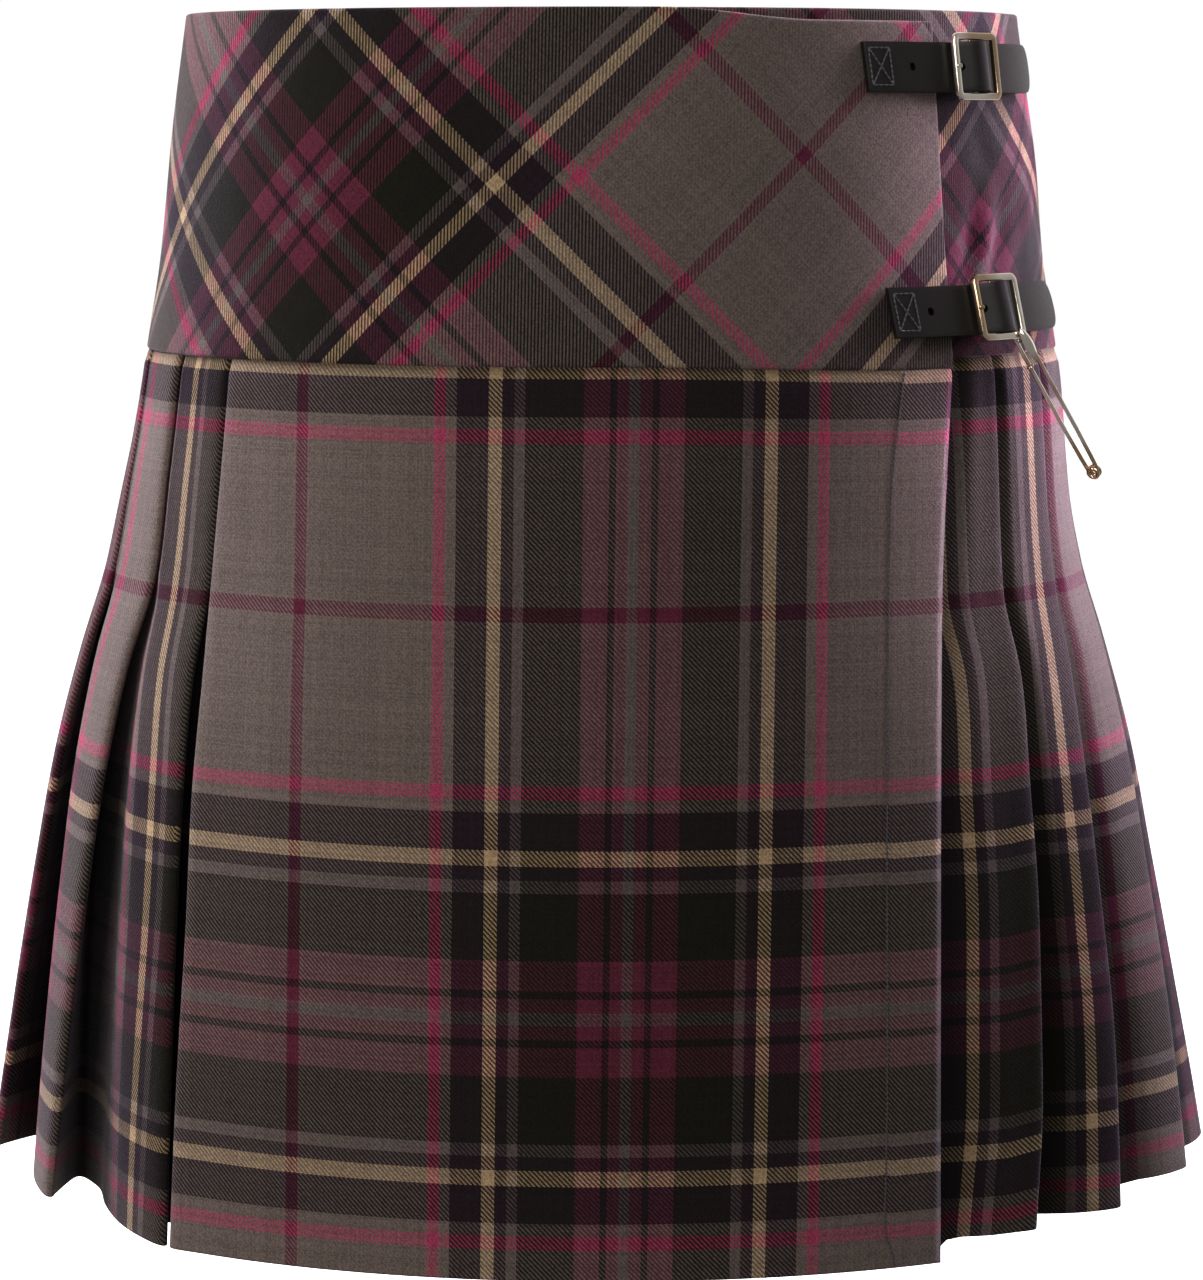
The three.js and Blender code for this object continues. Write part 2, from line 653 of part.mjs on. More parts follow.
for (const strap of STRAPS) {
  const stand = standOf(strap);
  const hardware = new THREE.Group();
  hardware.applyMatrix4(stand);
  const lift = strap.tip * STRAP_HALF_WIDTH;
  const raise = new THREE.Matrix4().makeTranslation(0, 0, lift);
  skirt.add(hardware);

  const hole = new THREE.CylinderGeometry(1.5, 1.5, 12, 12);
  hole.rotateX(Math.PI / 2);
  const holeStand = standAt(strap.drop, strap.buckleAlong + strap.holeOn, strap.tip);
  const prongWay = prongArm(PRONG_THICK + 0.9, PRONG_HALF_WIDTH + 0.5).transform(raise.elements);
  const leather = solidOf(strapWall(strap))
    .subtract(solidOf(hole, holeStand))
    .subtract(prongWay.transform(stand.elements));
  addPiece(skirt, "strap_" + strap.name, geometryOf(leather), LEATHER_BLACK, 0.55, 0);

  addPiece(skirt, "buckle_tab_" + strap.name, geometryOf(tabSolid(strap)), LEATHER_BLACK, 0.6, 0);
  const buckle = geometryOf(buckleSolid()).applyMatrix4(raise);
  addPiece(hardware, "buckle_" + strap.name, buckle, NICKEL, 0.2, 1);
  const prong = geometryOf(prongSolid()).applyMatrix4(raise);
  addPiece(hardware, "prong_" + strap.name, prong, NICKEL, 0.2, 1);

  if (strap.name === "lower") {
    const hung = new THREE.Group();
    hung.position.set(PIN_ON, -FRAME_HALF_HEIGHT + FRAME_BAND / 2, FRAME_OUT + lift);
    hung.rotation.z = THREE.MathUtils.degToRad(PIN_LEAN);
    const pin = geometryOf(pinSolid());
    pin.rotateY(-Math.PI / 2);
    pin.translate(0, PIN_ABOVE_BAR + 0.5, 0);
    addPiece(hung, "kilt_pin", pin, NICKEL, 0.2, 1);
    hardware.add(hung);
  }
}

export default skirt;
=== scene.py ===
import functools
import math
import bpy
import numpy as np
from mathutils import Matrix, Vector


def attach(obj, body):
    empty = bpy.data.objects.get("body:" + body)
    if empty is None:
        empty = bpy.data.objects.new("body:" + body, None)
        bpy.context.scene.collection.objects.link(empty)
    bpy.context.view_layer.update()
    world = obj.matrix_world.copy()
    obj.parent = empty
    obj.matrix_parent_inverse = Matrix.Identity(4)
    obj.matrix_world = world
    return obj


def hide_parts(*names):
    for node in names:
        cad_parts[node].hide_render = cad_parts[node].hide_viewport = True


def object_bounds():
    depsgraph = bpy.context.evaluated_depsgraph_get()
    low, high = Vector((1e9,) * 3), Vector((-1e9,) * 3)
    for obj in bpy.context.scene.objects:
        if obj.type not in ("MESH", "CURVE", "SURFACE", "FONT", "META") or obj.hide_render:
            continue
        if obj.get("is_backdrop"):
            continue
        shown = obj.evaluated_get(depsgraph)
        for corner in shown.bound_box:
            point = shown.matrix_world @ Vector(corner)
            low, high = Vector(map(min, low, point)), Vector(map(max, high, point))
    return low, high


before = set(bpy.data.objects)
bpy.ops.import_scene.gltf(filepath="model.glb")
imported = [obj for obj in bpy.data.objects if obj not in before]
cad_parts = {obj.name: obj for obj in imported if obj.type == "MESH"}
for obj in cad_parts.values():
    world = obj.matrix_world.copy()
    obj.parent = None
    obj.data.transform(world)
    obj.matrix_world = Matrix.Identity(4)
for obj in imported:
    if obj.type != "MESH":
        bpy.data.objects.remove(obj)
cad_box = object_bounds()
bpy.ops.object.select_all(action="DESELECT")


# The studio
# The skirt hangs filled out at waist height in front of a white wall, and is seen from the front
# by a long lens. The wall's light wraps round both sides, and softboxes light the rest.

CAMERA_BACK = 1.44
CAMERA_DROP = 0.038
CAMERA_PITCH = 7.564
CAMERA_LENS = 110
FLOOR_DROP = 0.62

camera = bpy.data.objects.new("camera", bpy.data.cameras.new("camera"))
camera.data.lens = CAMERA_LENS
camera.data.sensor_width = 36
camera.location = (0, -CAMERA_BACK, -CAMERA_DROP)
camera.rotation_euler = (math.radians(90 - CAMERA_PITCH), 0, 0)
bpy.context.scene.collection.objects.link(camera)
bpy.context.scene.camera = camera
bpy.context.scene.view_settings.view_transform = "Standard"

# The room is white behind the skirt, and about a fifth as bright behind the camera.
ROOM_FRONT = 0.2
world = bpy.data.worlds.new("white room")
world.use_nodes = True
room = world.node_tree
way = room.nodes.new("ShaderNodeTexCoord")
split = room.nodes.new("ShaderNodeSeparateXYZ")
ease = room.nodes.new("ShaderNodeMapRange")
ease.interpolation_type = "SMOOTHSTEP"
ease.inputs["From Min"].default_value = 0.05
ease.inputs["From Max"].default_value = 0.8
ease.inputs["To Min"].default_value = ROOM_FRONT
room.links.new(way.outputs["Generated"], split.inputs["Vector"])
room.links.new(split.outputs["Y"], ease.inputs["Value"])
room.links.new(ease.outputs["Result"], room.nodes["Background"].inputs["Strength"])
room.nodes["Background"].inputs["Color"].default_value = (1, 1, 1, 1)
bpy.context.scene.world = world

# One softbox stands in front at the left, one at either side behind, and a small one is aimed at
# the yoke's right side. The card is seen only as a reflection in the metal.
ALL_OF_IT = (0, 0, -0.22)
LAMPS = [
    {"name": "key softbox", "at": (-1.35, -1.35, 0.4), "to": ALL_OF_IT, "size": 0.9,
     "watts": 17, "spread": 180, "tint": (1, 0.96, 0.92)},
    {"name": "right softbox", "at": (0.85, 0.35, 0.6), "to": ALL_OF_IT, "size": 0.5,
     "watts": 28, "spread": 180, "tint": (0.84, 0.8, 1)},
    {"name": "left softbox", "at": (-0.8, 0.35, 0.5), "to": ALL_OF_IT, "size": 0.5,
     "watts": 28, "spread": 180, "tint": (0.84, 0.85, 1)},
    {"name": "yoke softbox", "at": (0.8, 0.3, 0.05), "to": (0.16, -0.03, -0.06), "size": 0.3,
     "watts": 1.1, "spread": 30, "tint": (0.9, 0.72, 1)},
    {"name": "metal card", "at": (0.5, -1.4, 0.9), "to": (0.15, -0.1, -0.06), "size": 1.0,
     "watts": 30, "spread": 180, "tint": (1, 0.97, 0.92)},
]
for lamp in LAMPS:
    light = bpy.data.objects.new(lamp["name"], bpy.data.lights.new(lamp["name"], "AREA"))
    light.data.energy = lamp["watts"]
    light.data.size = lamp["size"]
    light.data.spread = math.radians(lamp["spread"])
    light.data.color = lamp["tint"]
    light.location = lamp["at"]
    aim = Vector(lamp["to"]) - light.location
    light.rotation_euler = aim.to_track_quat("-Z", "Y").to_euler()
    light.visible_glossy = lamp["name"] in ("key softbox", "metal card")
    light.visible_diffuse = lamp["name"] != "metal card"
    bpy.context.scene.collection.objects.link(light)

bpy.ops.mesh.primitive_plane_add(size=12, location=(0, 0, -FLOOR_DROP))
floor = bpy.context.object
floor.name = "floor"
floor_paint = bpy.data.materials.new("floor paint")
floor_paint.use_nodes = True
paint = floor_paint.node_tree.nodes["Principled BSDF"].inputs
paint["Base Color"].default_value = (0.9, 0.9, 0.9, 1)
paint["Roughness"].default_value = 0.9
paint["Emission Color"].default_value = (1, 1, 1, 1)
paint["Emission Strength"].default_value = 0.7
floor.data.materials.append(floor_paint)
floor.visible_diffuse = False
floor.visible_glossy = False
floor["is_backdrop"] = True


# The tartan
# The cloth is a light brushed wool-look twill, woven 2/2, so that each yarn floats over two and
# under two. Warp and weft repeat one sett of grey, black-green, plum, pink and cream.

class Wire:
    """A shader socket. Sums and products of wires add Math nodes, and node() adds any other."""

    def __init__(self, tree, socket=None):
        self.tree = tree
        self.socket = socket

    def node(self, kind, settings=None, values=None, output=0):
        """Adds a node, with its settings first and then the values or wires of its inputs."""
        made = self.tree.nodes.new(kind)
        for name, value in (settings or {}).items():
            if name == "stops":
                ramp = made.color_ramp.elements
                while len(ramp) < len(value):
                    ramp.new(1)
                for element, (position, colour) in zip(ramp, value):
                    element.position = position
                    element.color = colour
            elif name == "blend":
                made.color_ramp.interpolation = value
            else:
                setattr(made, name, value)
        for name, value in (values or {}).items():
            if isinstance(value, Wire):
                self.tree.links.new(value.socket, made.inputs[name])
            else:
                made.inputs[name].default_value = value
        return Wire(self.tree, made.outputs[output])

    def maths(self, operation, *numbers):
        return self.node("ShaderNodeMath", {"operation": operation}, dict(enumerate(numbers)))

    def __add__(self, other):
        return self.maths("ADD", self, other)

    __radd__ = __add__

    def __sub__(self, other):
        return self.maths("SUBTRACT", self, other)

    def __rsub__(self, other):
        return self.maths("SUBTRACT", other, self)

    def __mul__(self, other):
        return self.maths("MULTIPLY", self, other)

    __rmul__ = __mul__

    def __truediv__(self, other):
        return self.maths("DIVIDE", self, other)

    def __mod__(self, other):
        return self.maths("FLOORED_MODULO", self, other)

    def floor(self):
        return self.maths("FLOOR", self)

    def over(self, other):
        return self.maths("GREATER_THAN", self, other)

    def sine(self):
        return self.maths("SINE", self)

    def between(self, low, high, to_low=0, to_high=1):
        """Eases from one value to another as the wire goes from low to high."""
        names = ("Value", "From Min", "From Max", "To Min", "To Max")
        numbers = dict(zip(names, (self, low, high, to_low, to_high)))
        return self.node("ShaderNodeMapRange", {"interpolation_type": "SMOOTHSTEP"}, numbers)

    def mixed(self, first, second):
        """A colour that goes from the first to the second as the wire goes from 0 to 1."""
        return self.node("ShaderNodeMix", {"data_type": "RGBA"}, {0: self, 6: first, 7: second}, 2)


def colour(red, green, blue):
    """A colour as seen on screen, 0 to 255, made linear."""
    def linear(value):
        value /= 255
        return value / 12.92 if value <= 0.04045 else ((value + 0.055) / 1.055) ** 2.4
    return (linear(red), linear(green), linear(blue), 1)


def new_finish(name, **constants):
    """A material, and a wire into it, with the shader's constant values set."""
    material = bpy.data.materials.new(name)
    material.use_nodes = True
    shader = material.node_tree.nodes["Principled BSDF"]
    for socket, value in constants.items():
        shader.inputs[socket.replace("_", " ")].default_value = value
    return material, Wire(material.node_tree), shader


def join(tree, wire, socket):
    tree.links.new(wire.socket, socket)


YARNS = {
    "grey": colour(112, 99, 92),
    "pink": colour(175, 65, 98),
    "magenta": colour(98, 34, 58),
    "purple": colour(35, 23, 31),
    "cream": colour(184, 156, 120),
    "black_green": colour(25, 23, 16),
    "plum": colour(93, 36, 54),
    "black": colour(26, 18, 22),
    "dim_grey": colour(90, 80, 78),
}
# Half the sett in the warp, in millimetres, between its two pivots: it mirrors at both.
SETT = [
    ("magenta", 2), ("grey", 47.5), ("pink", 4), ("grey", 4), ("purple", 11), ("cream", 4.5),
    ("purple", 4), ("dim_grey", 4), ("black_green", 19.5), ("plum", 9), ("black", 2.5),
    ("plum", 3.8), ("dim_grey", 2.2),
]
HALF_SETT = sum(width for _, width in SETT)
WEFT_STRETCH = 1.145
THREAD = 0.425


def sett_stops():
    stops, at = [], 0
    for yarn, width in SETT:
        stops.append((at / HALF_SETT, YARNS[yarn]))
        at += width
    return stops


def tartan_cloth():
    material, wire, shader = new_finish(
        "tartan twill", Specular_IOR_Level=0.06, Sheen_Weight=0.28, Sheen_Roughness=0.3,
        Sheen_Tint=(0.85, 0.76, 0.86, 1))
    weave = wire.node("ShaderNodeAttribute", {"attribute_name": "weave"}, output=1)
    across, down, inward = (
        weave.node("ShaderNodeSeparateXYZ", values={"Vector": weave}, output=i) for i in range(3))
    place = wire.node("ShaderNodeTexCoord", output=3)

    def yarn(distance):
        share = distance.maths("PINGPONG", distance, HALF_SETT) / HALF_SETT
        settings = {"blend": "CONSTANT", "stops": sett_stops()}
        return share.node("ShaderNodeValToRGB", settings, {"Fac": share})

    # Each end and pick carries a little more or less dye than the next.
    end = (across / THREAD).floor()
    pick = (down / THREAD).floor()
    end_shade = end.node("ShaderNodeTexWhiteNoise", {"noise_dimensions": "1D"}, {"W": end})
    pick_shade = pick.node("ShaderNodeTexWhiteNoise", {"noise_dimensions": "1D"}, {"W": pick})
    warp_on_top = 1 - ((end - pick) % 4).over(1.5)
    warp, weft = yarn(across), yarn(down / WEFT_STRETCH)
    woven, under = warp_on_top.mixed(weft, warp), warp_on_top.mixed(warp, weft)
    # Dark fibres from the yarn beneath stand up through a lighter one and dim it.
    redness = under.node("ShaderNodeSeparateColor", values={"Color": under})
    darkness = redness.between(0.02, 0.09, 0.36, 0)
    woven = darkness.mixed(woven, under)

    fleck = place.node("ShaderNodeTexNoise", values={"Vector": place, "Scale": 1400, "Detail": 2})
    cloud = place.node("ShaderNodeTexNoise", values={"Vector": place, "Scale": 45, "Detail": 3})
    fibre = place.node("ShaderNodeTexNoise", values={"Vector": place, "Scale": 5200, "Detail": 1})
    # Little light gets into a fold, so cloth that lies further in is darker.
    shaded_in = inward.between(1.2, 14, 1, 0.22)
    grain = fleck.between(0.36, 0.64) * 0.42
    shade = 0.46 + 0.2 * (end_shade + pick_shade) + grain + 0.16 * cloud + 0.12 * warp_on_top
    shade = shade * shaded_in
    shaded = woven.node("ShaderNodeVectorMath", {"operation": "SCALE"}, {0: woven, "Scale": shade})
    loose = fibre.between(0.46, 0.62) * 0.09
    napped = loose.mixed(shaded, colour(88, 84, 76))
    join(material.node_tree, napped, shader.inputs["Base Color"])

    # A float is a low ridge along its own yarn, and loose fibres stand on it.
    rib = across.maths("ABSOLUTE", (across * (math.pi / THREAD)).sine())
    cord = down.maths("ABSOLUTE", (down * (math.pi / THREAD)).sine())
    ridge = warp_on_top * rib + (1 - warp_on_top) * cord
    height = ridge * 0.4 + fibre * 0.4 + fleck
    relief = {"Strength": 0.8, "Distance": 0.00026, "Height": height}
    bump = height.node("ShaderNodeBump", values=relief)
    join(material.node_tree, bump, shader.inputs["Normal"])
    join(material.node_tree, 0.86 + 0.12 * fleck, shader.inputs["Roughness"])
    return material


tartan = tartan_cloth()


# The yoke's back
# The yoke is the fitted band from the waist to the hips, of doubled tartan cut on the bias, so
# that its lines cross as lozenges. The back is one panel from side seam to side seam.

MM = 0.001
YOKE_FOOT = 120.2
YOKE_WALL = 2.2
# The skirt's outline, as an oval at each drop below the waist's top edge, in millimetres.
OUTLINE = {
    "drop": [0, 40, 90, 120, 160, 199, 230, 268, 315, 370, 430],
    "half_width": [150.5, 156, 161.5, 166.5, 172, 179.5, 189, 199, 208, 217.5, 227],
    "half_depth": [113, 118.5, 124, 127.5, 132, 137, 141.5, 146, 151, 156, 160.5],
}


def read(table, column, drop):
    """A column of a table at any drop, as a smooth curve that never overshoots its rows."""
    xs, ys = np.array(table["drop"], float), np.array(table[column], float)
    step, rise = np.diff(xs), np.diff(ys)
    slope = rise / step
    tangent = np.concatenate([slope[:1], (slope[:-1] + slope[1:]) / 2, slope[-1:]])
    turns = slope[:-1] * slope[1:] <= 0
    tangent[1:-1][turns] = 0
    limit = 3 * np.minimum(np.abs(slope[:-1]), np.abs(slope[1:]))
    tangent[1:-1] = np.clip(tangent[1:-1], -limit, limit)
    x = np.clip(drop, xs[0], xs[-1])
    j = np.clip(np.searchsorted(xs, x, side="right") - 1, 0, len(step) - 1)
    t = (x - xs[j]) / step[j]
    ease = t * t * (3 - 2 * t)
    into = t * (1 - t) * (1 - t) * step[j] * tangent[j]
    onto = t * t * (t - 1) * step[j] * tangent[j + 1]
    return ys[j] + rise[j] * ease + into + onto


@functools.lru_cache(maxsize=None)
def outline(drop):
    """The turns round the oval at one drop, and the distance along it from the front's middle."""
    turns = np.linspace(0, 2 * np.pi, 1441)
    wide, deep = read(OUTLINE, "half_width", drop), read(OUTLINE, "half_depth", drop)
    speed = np.hypot(wide * np.cos(turns), deep * np.sin(turns))
    steps = (speed[1:] + speed[:-1]) / 2 * np.diff(turns)
    return turns, np.concatenate([[0], np.cumsum(steps)])


def girths(drops):
    return np.array([outline(drop)[1][-1] for drop in drops])


def place_row(drop, along, out, sunk=0):
    """Points, in metres, along the outline at a drop and out from it, each sunk a little lower."""
    turns, sums = outline(drop)
    turn = np.interp(np.mod(along, sums[-1]), sums, turns)
    low = drop + sunk + 0 * turn
    wide, deep = read(OUTLINE, "half_width", low), read(OUTLINE, "half_depth", low)
    slope = np.hypot(deep * np.sin(turn), wide * np.cos(turn))
    x = np.sin(turn) * (wide + out * deep / slope)
    y = -np.cos(turn) * (deep + out * wide / slope)
    return np.stack([x, y, -low], axis=-1) * MM


LIP = np.array([0.05, 0.22, 0.55, 1.0])


def spaced(start, end, step, wall):
    """Distances from start to end about a step apart, closer at both rounded edges."""
    lip = LIP * wall / 2
    count = max(2, round(abs(end - start) / step))
    way = 1 if end > start else -1
    middle = np.linspace(start + way * wall, end - way * wall, count)
    return np.concatenate([[start], start + way * lip, middle, end - way * lip[::-1], [end]])


def smooth_step(low, high, x):
    t = np.clip((x - low) / (high - low), 0, 1)
    return t * t * (3 - 2 * t)


def cloth_wall(name, rows, wall, weave):
    """A closed cloth wall with rounded edges about a middle surface.

    rows are the points of the middle surface, top row first, each row along the outline, and
    weave is where each point lies in the cloth, across and down, and how far in, in millimetres."""
    points = np.array(rows)
    down = np.gradient(points, axis=0)
    across = np.gradient(points, axis=1)
    facing = np.cross(down, across)
    facing /= np.maximum(np.linalg.norm(facing, axis=2, keepdims=True), 1e-12)

    def from_edge(steps, axis):
        walked = np.cumsum(np.concatenate([0 * steps[:1], steps]) if axis == 0 else
                           np.concatenate([0 * steps[:, :1], steps], axis=1), axis=axis)
        last = walked[-1:] if axis == 0 else walked[:, -1:]
        return np.minimum(walked, last - walked)

    half = wall / 2 * MM
    rim = 1
    for axis in (0, 1):
        steps = np.linalg.norm(np.diff(points, axis=axis), axis=2)
        reach = 1 - np.clip(from_edge(steps, axis) / half, 0, 1)
        rim = rim * np.sqrt(1 - reach * reach)
    thick = (half * rim)[..., None]
    count_down, count_across = points.shape[:2]
    total = count_down * count_across
    places = np.concatenate([(points + facing * thick).reshape(-1, 3),
                             (points - facing * thick).reshape(-1, 3)])
    index = np.arange(total).reshape(count_down, count_across)
    inner = index + total
    for edge in (np.s_[0, :], np.s_[-1, :], np.s_[:, 0], np.s_[:, -1]):
        inner[edge] = index[edge]

    def quads(grid, flip):
        a, b, c, d = grid[:-1, :-1], grid[1:, :-1], grid[1:, 1:], grid[:-1, 1:]
        order = (a, d, c, b) if flip else (a, b, c, d)
        return np.stack(order, axis=-1).reshape(-1, 4)

    faces = np.concatenate([quads(index, False), quads(inner, True)])
    used, renumbered = np.unique(faces, return_inverse=True)
    mesh = bpy.data.meshes.new(name)
    mesh.from_pydata(places[used].tolist(), [], renumbered.reshape(-1, 4).tolist())
    chart = np.array(weave).reshape(-1, 3)
    chart = np.concatenate([chart, chart])[used]
    layer = mesh.attributes.new("weave", "FLOAT_VECTOR", "POINT")
    layer.data.foreach_set("vector", chart.astype(np.float32).ravel())
    mesh.polygons.foreach_set("use_smooth", np.ones(len(mesh.polygons), bool))
    piece = bpy.data.objects.new(name, mesh)
    bpy.context.scene.collection.objects.link(piece)
    mesh.materials.append(tartan)
    return piece


# The cloth is stretched a little along one diagonal, so its lozenges are not quite square.
BIAS_EASE = 1.04


def on_bias(along, drop, across_at, down_at, origin):
    """Where a yoke's point lies in the cloth, which runs at 45 degrees, from one known point."""
    right, up = along - origin[0], origin[1] - drop
    across = across_at + BIAS_EASE * (right - up) / math.sqrt(2)
    down = down_at - (right + up) / math.sqrt(2)
    return np.stack([across, down], axis=-1)


YOKE_STEP = 3
yoke_drops = spaced(0, YOKE_FOOT, YOKE_STEP, YOKE_WALL)


def yoke_panel(name, ends_at, out_at, chart, sag=lambda drop, along: 0):
    """A yoke panel between its two ends, given at each drop, and sunk by its sag."""
    start, end = ends_at(YOKE_FOOT)
    shares = spaced(0, end - start, YOKE_STEP, YOKE_WALL) / (end - start)
    rows, weave = [], []
    for drop in yoke_drops:
        start, end = ends_at(drop)
        along = start + (end - start) * shares
        sunk = sag(drop, along)
        out = out_at(drop, along)
        rows.append(place_row(drop, along, out, sunk))
        weave.append(np.concatenate([chart(along, drop + sunk), -out[:, None]], axis=1))
    return cloth_wall(name, rows, YOKE_WALL, weave)


def quarter_at(drop):
    return outline(drop)[1][-1] / 4


def creased(along, drop, creases):
    """How far creases lift the cloth at each point, fading at their ends."""
    lift = np.zeros(np.broadcast(along, drop).shape)
    for crease in creases:
        start, end = np.array(crease["from"], float), np.array(crease["to"], float)
        way = end - start
        length = np.linalg.norm(way)
        share = ((along - start[0]) * way[0] + (drop - start[1]) * way[1]) / length ** 2
        off = ((along - start[0]) * way[1] - (drop - start[1]) * way[0]) / length
        fade = np.sin(np.pi * np.clip((share + 0.15) / 1.3, 0, 1)) ** 2
        lift = lift + crease["deep"] * fade * np.exp(-(off / crease["wide"]) ** 2)
    return lift


SEAM_OVERLAP = 0.3
BACK_CROSSING = (420, 60)
# The yoke stands out a little at the side, between the two straps.
SIDE_BULGE = [{"from": (184, 32), "to": (184, 90), "wide": 22, "deep": 3.0}]
yoke_back = yoke_panel(
    "yoke_back_cloth",
    lambda drop: (quarter_at(drop) - SEAM_OVERLAP, 3 * quarter_at(drop) + SEAM_OVERLAP),
    lambda drop, along: -YOKE_WALL / 2 + creased(along, drop, SIDE_BULGE),
    lambda along, drop: on_bias(along, drop, 0, 0, BACK_CROSSING))
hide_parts("yoke_back")
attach(yoke_back, "garment")


# The yoke's front
# The over panel runs from the left side seam across the front to a free edge at the wearer's
# left, where the straps hold it. Its top edge sinks a little towards the buckles.

EDGE_TOP = 123
EDGE_FOOT = 131
# How far the top and the foot sink, between which places along, and how near the edge it stays.
TOP_SAG = {"by": 4, "from": 20, "to": 75}
FOOT_SAG = {"by": 2.8, "from": 10, "to": 120}
SAG_POWER = 6
FRONT_CROSSING = (69.9, 49.8)


def over_ends(drop):
    return -quarter_at(drop) - SEAM_OVERLAP, EDGE_TOP + (EDGE_FOOT - EDGE_TOP) * drop / YOKE_FOOT


def sag_towards_edge(sag, along):
    return sag["by"] * smooth_step(sag["from"], sag["to"], along)


def over_sag(drop, along):
    share = drop / YOKE_FOOT
    top = sag_towards_edge(TOP_SAG, along) * (1 - share) ** SAG_POWER
    return top + sag_towards_edge(FOOT_SAG, along) * share ** SAG_POWER


yoke_over = yoke_panel(
    "yoke_over_cloth",
    over_ends,
    lambda drop, along: -YOKE_WALL / 2 + 0 * along,
    lambda along, drop: on_bias(along, drop, 0, 0, FRONT_CROSSING),
    over_sag)
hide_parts("yoke_over")
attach(yoke_over, "garment")


# The yoke's under panel
# It comes from the right side seam and passes inside the front panel. The straps draw it up, so
# that the part which shows right of the free edge is puckered between the two buckles.

UNDER_IN = 4.2
UNDER_START = -96
# From here to the side seam it comes out level with the back.
UNDER_SHOWN_FROM = 178
UNDER_SHOWN_SHORT = 6
UNDER_CHART = {"across": 70.75, "down": -158.4, "at": (133.7, 41.2)}
# A pucker runs from one place to another, along and drop, so wide and so deep: minus is a trough.
PUCKERS = [
    {"from": (158, 60), "to": (147, 104), "wide": 3.6, "deep": 2.0},
    {"from": (150, 58), "to": (140, 98), "wide": 4, "deep": -1.2},
    {"from": (168, 60), "to": (158, 102), "wide": 4.5, "deep": -1.3},
    {"from": (178, 50), "to": (190, 92), "wide": 5.5, "deep": 1.0},
    {"from": (146, 36), "to": (160, 58), "wide": 6, "deep": -0.9},
]


def under_out(drop, along):
    shown = smooth_step(UNDER_SHOWN_FROM, quarter_at(drop) - UNDER_SHOWN_SHORT, along)
    lift = creased(along, drop, PUCKERS + SIDE_BULGE)
    return -UNDER_IN + (UNDER_IN - YOKE_WALL / 2) * shown + lift


yoke_under = yoke_panel(
    "yoke_under_cloth",
    lambda drop: (UNDER_START, quarter_at(drop) + SEAM_OVERLAP),
    under_out,
    lambda along, drop: on_bias(
        along, drop, UNDER_CHART["across"], UNDER_CHART["down"], UNDER_CHART["at"]))
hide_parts("yoke_under")
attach(yoke_under, "garment")


# The yoke's inner layer
# The yoke is doubled, and its inner layer is sewn down over the tops of the pleats, so that it
# closes the seam at the hips from inside. Only its foot shows, as a band inside the skirt.

SKIRT_TOP = 119.3
INNER_WALL = 0.9
INNER_TOP = 110
INNER_FOOT = 122.6
INNER_HIGH = 2.75
INNER_HIGH_IN_FRONT = 5.95
INNER_LOW = 6.65
# In front it lies further in, behind both front panels: from and to these places along.
INNER_FRONT_STARTS = (-112, -98)
INNER_FRONT_ENDS = 174
INNER_COLUMNS = 360
INNER_STEP = 1.5


def both_ways(along, girth):
    """Distances from the front's middle, minus to the left of it."""
    return np.mod(along + girth / 2, girth) - girth / 2


def inner_row(drop):
    girth = outline(drop)[1][-1]
    along = np.linspace(0, girth, INNER_COLUMNS)
    signed = both_ways(along, girth)
    in_front = smooth_step(*INNER_FRONT_STARTS, signed)
    in_front = in_front * (1 - smooth_step(INNER_FRONT_ENDS, quarter_at(drop), signed))
    high = INNER_HIGH + (INNER_HIGH_IN_FRONT - INNER_HIGH) * in_front
    return along, -high - (INNER_LOW - high) * smooth_step(INNER_TOP, SKIRT_TOP - 1, drop)


rows, weave = [], []
for drop in spaced(INNER_TOP, INNER_FOOT, INNER_STEP, INNER_WALL):
    along, out = inner_row(drop)
    rows.append(place_row(drop, along, out))
    weave.append(np.concatenate([on_bias(along, drop, 0, 0, BACK_CROSSING), -out[:, None]], axis=1))
yoke_inside = cloth_wall("yoke_inside_cloth", rows, INNER_WALL, weave)
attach(yoke_inside, "garment")


# The pleats
# Knife pleats run from the under-apron's fold round the back to the inverted pleat beside the
# apron. They are sewn shut down to the hips and fall open from there to the hem.

LENGTH = 429
STITCHED_TO = 199
CLOTH = 1.2
PLEAT_COUNT = 18
FOLD_SHARE = 0.74
OPEN_PITCH = 50
OPEN_POWER = 0.7
FOLDS = {
    "drop": [120, 160, 199, 230, 268, 315, 370, 430],
    "apron_fold": [-140, -143.3, -146.3, -147.8, -150.5, -152, -155, -157],
    "left1": [-143.3, -146.6, -149.8, -155.6, -157.8, -159.2, -160, -160.5],
    "left2": [-174.8, -179, -182.5, -194, -202.5, -210, -216.5, -221],
    "right1": [151.5, 153, 152.8, 159, 160.5, 163, 163, 159],
    "right2": [184.5, 186.8, 187, 190, 193, 198, 202, 201],
    "apron_edge": [131, 127.5, 124.3, 122.5, 121.2, 120.5, 120, 119.7],
}
# Sewn shut, a pleat is three layers deep: how far in the middle of each layer lies.
FACE_IN = 0.6
TURNED_IN = 2.25
DEEPEST_IN = 3.9
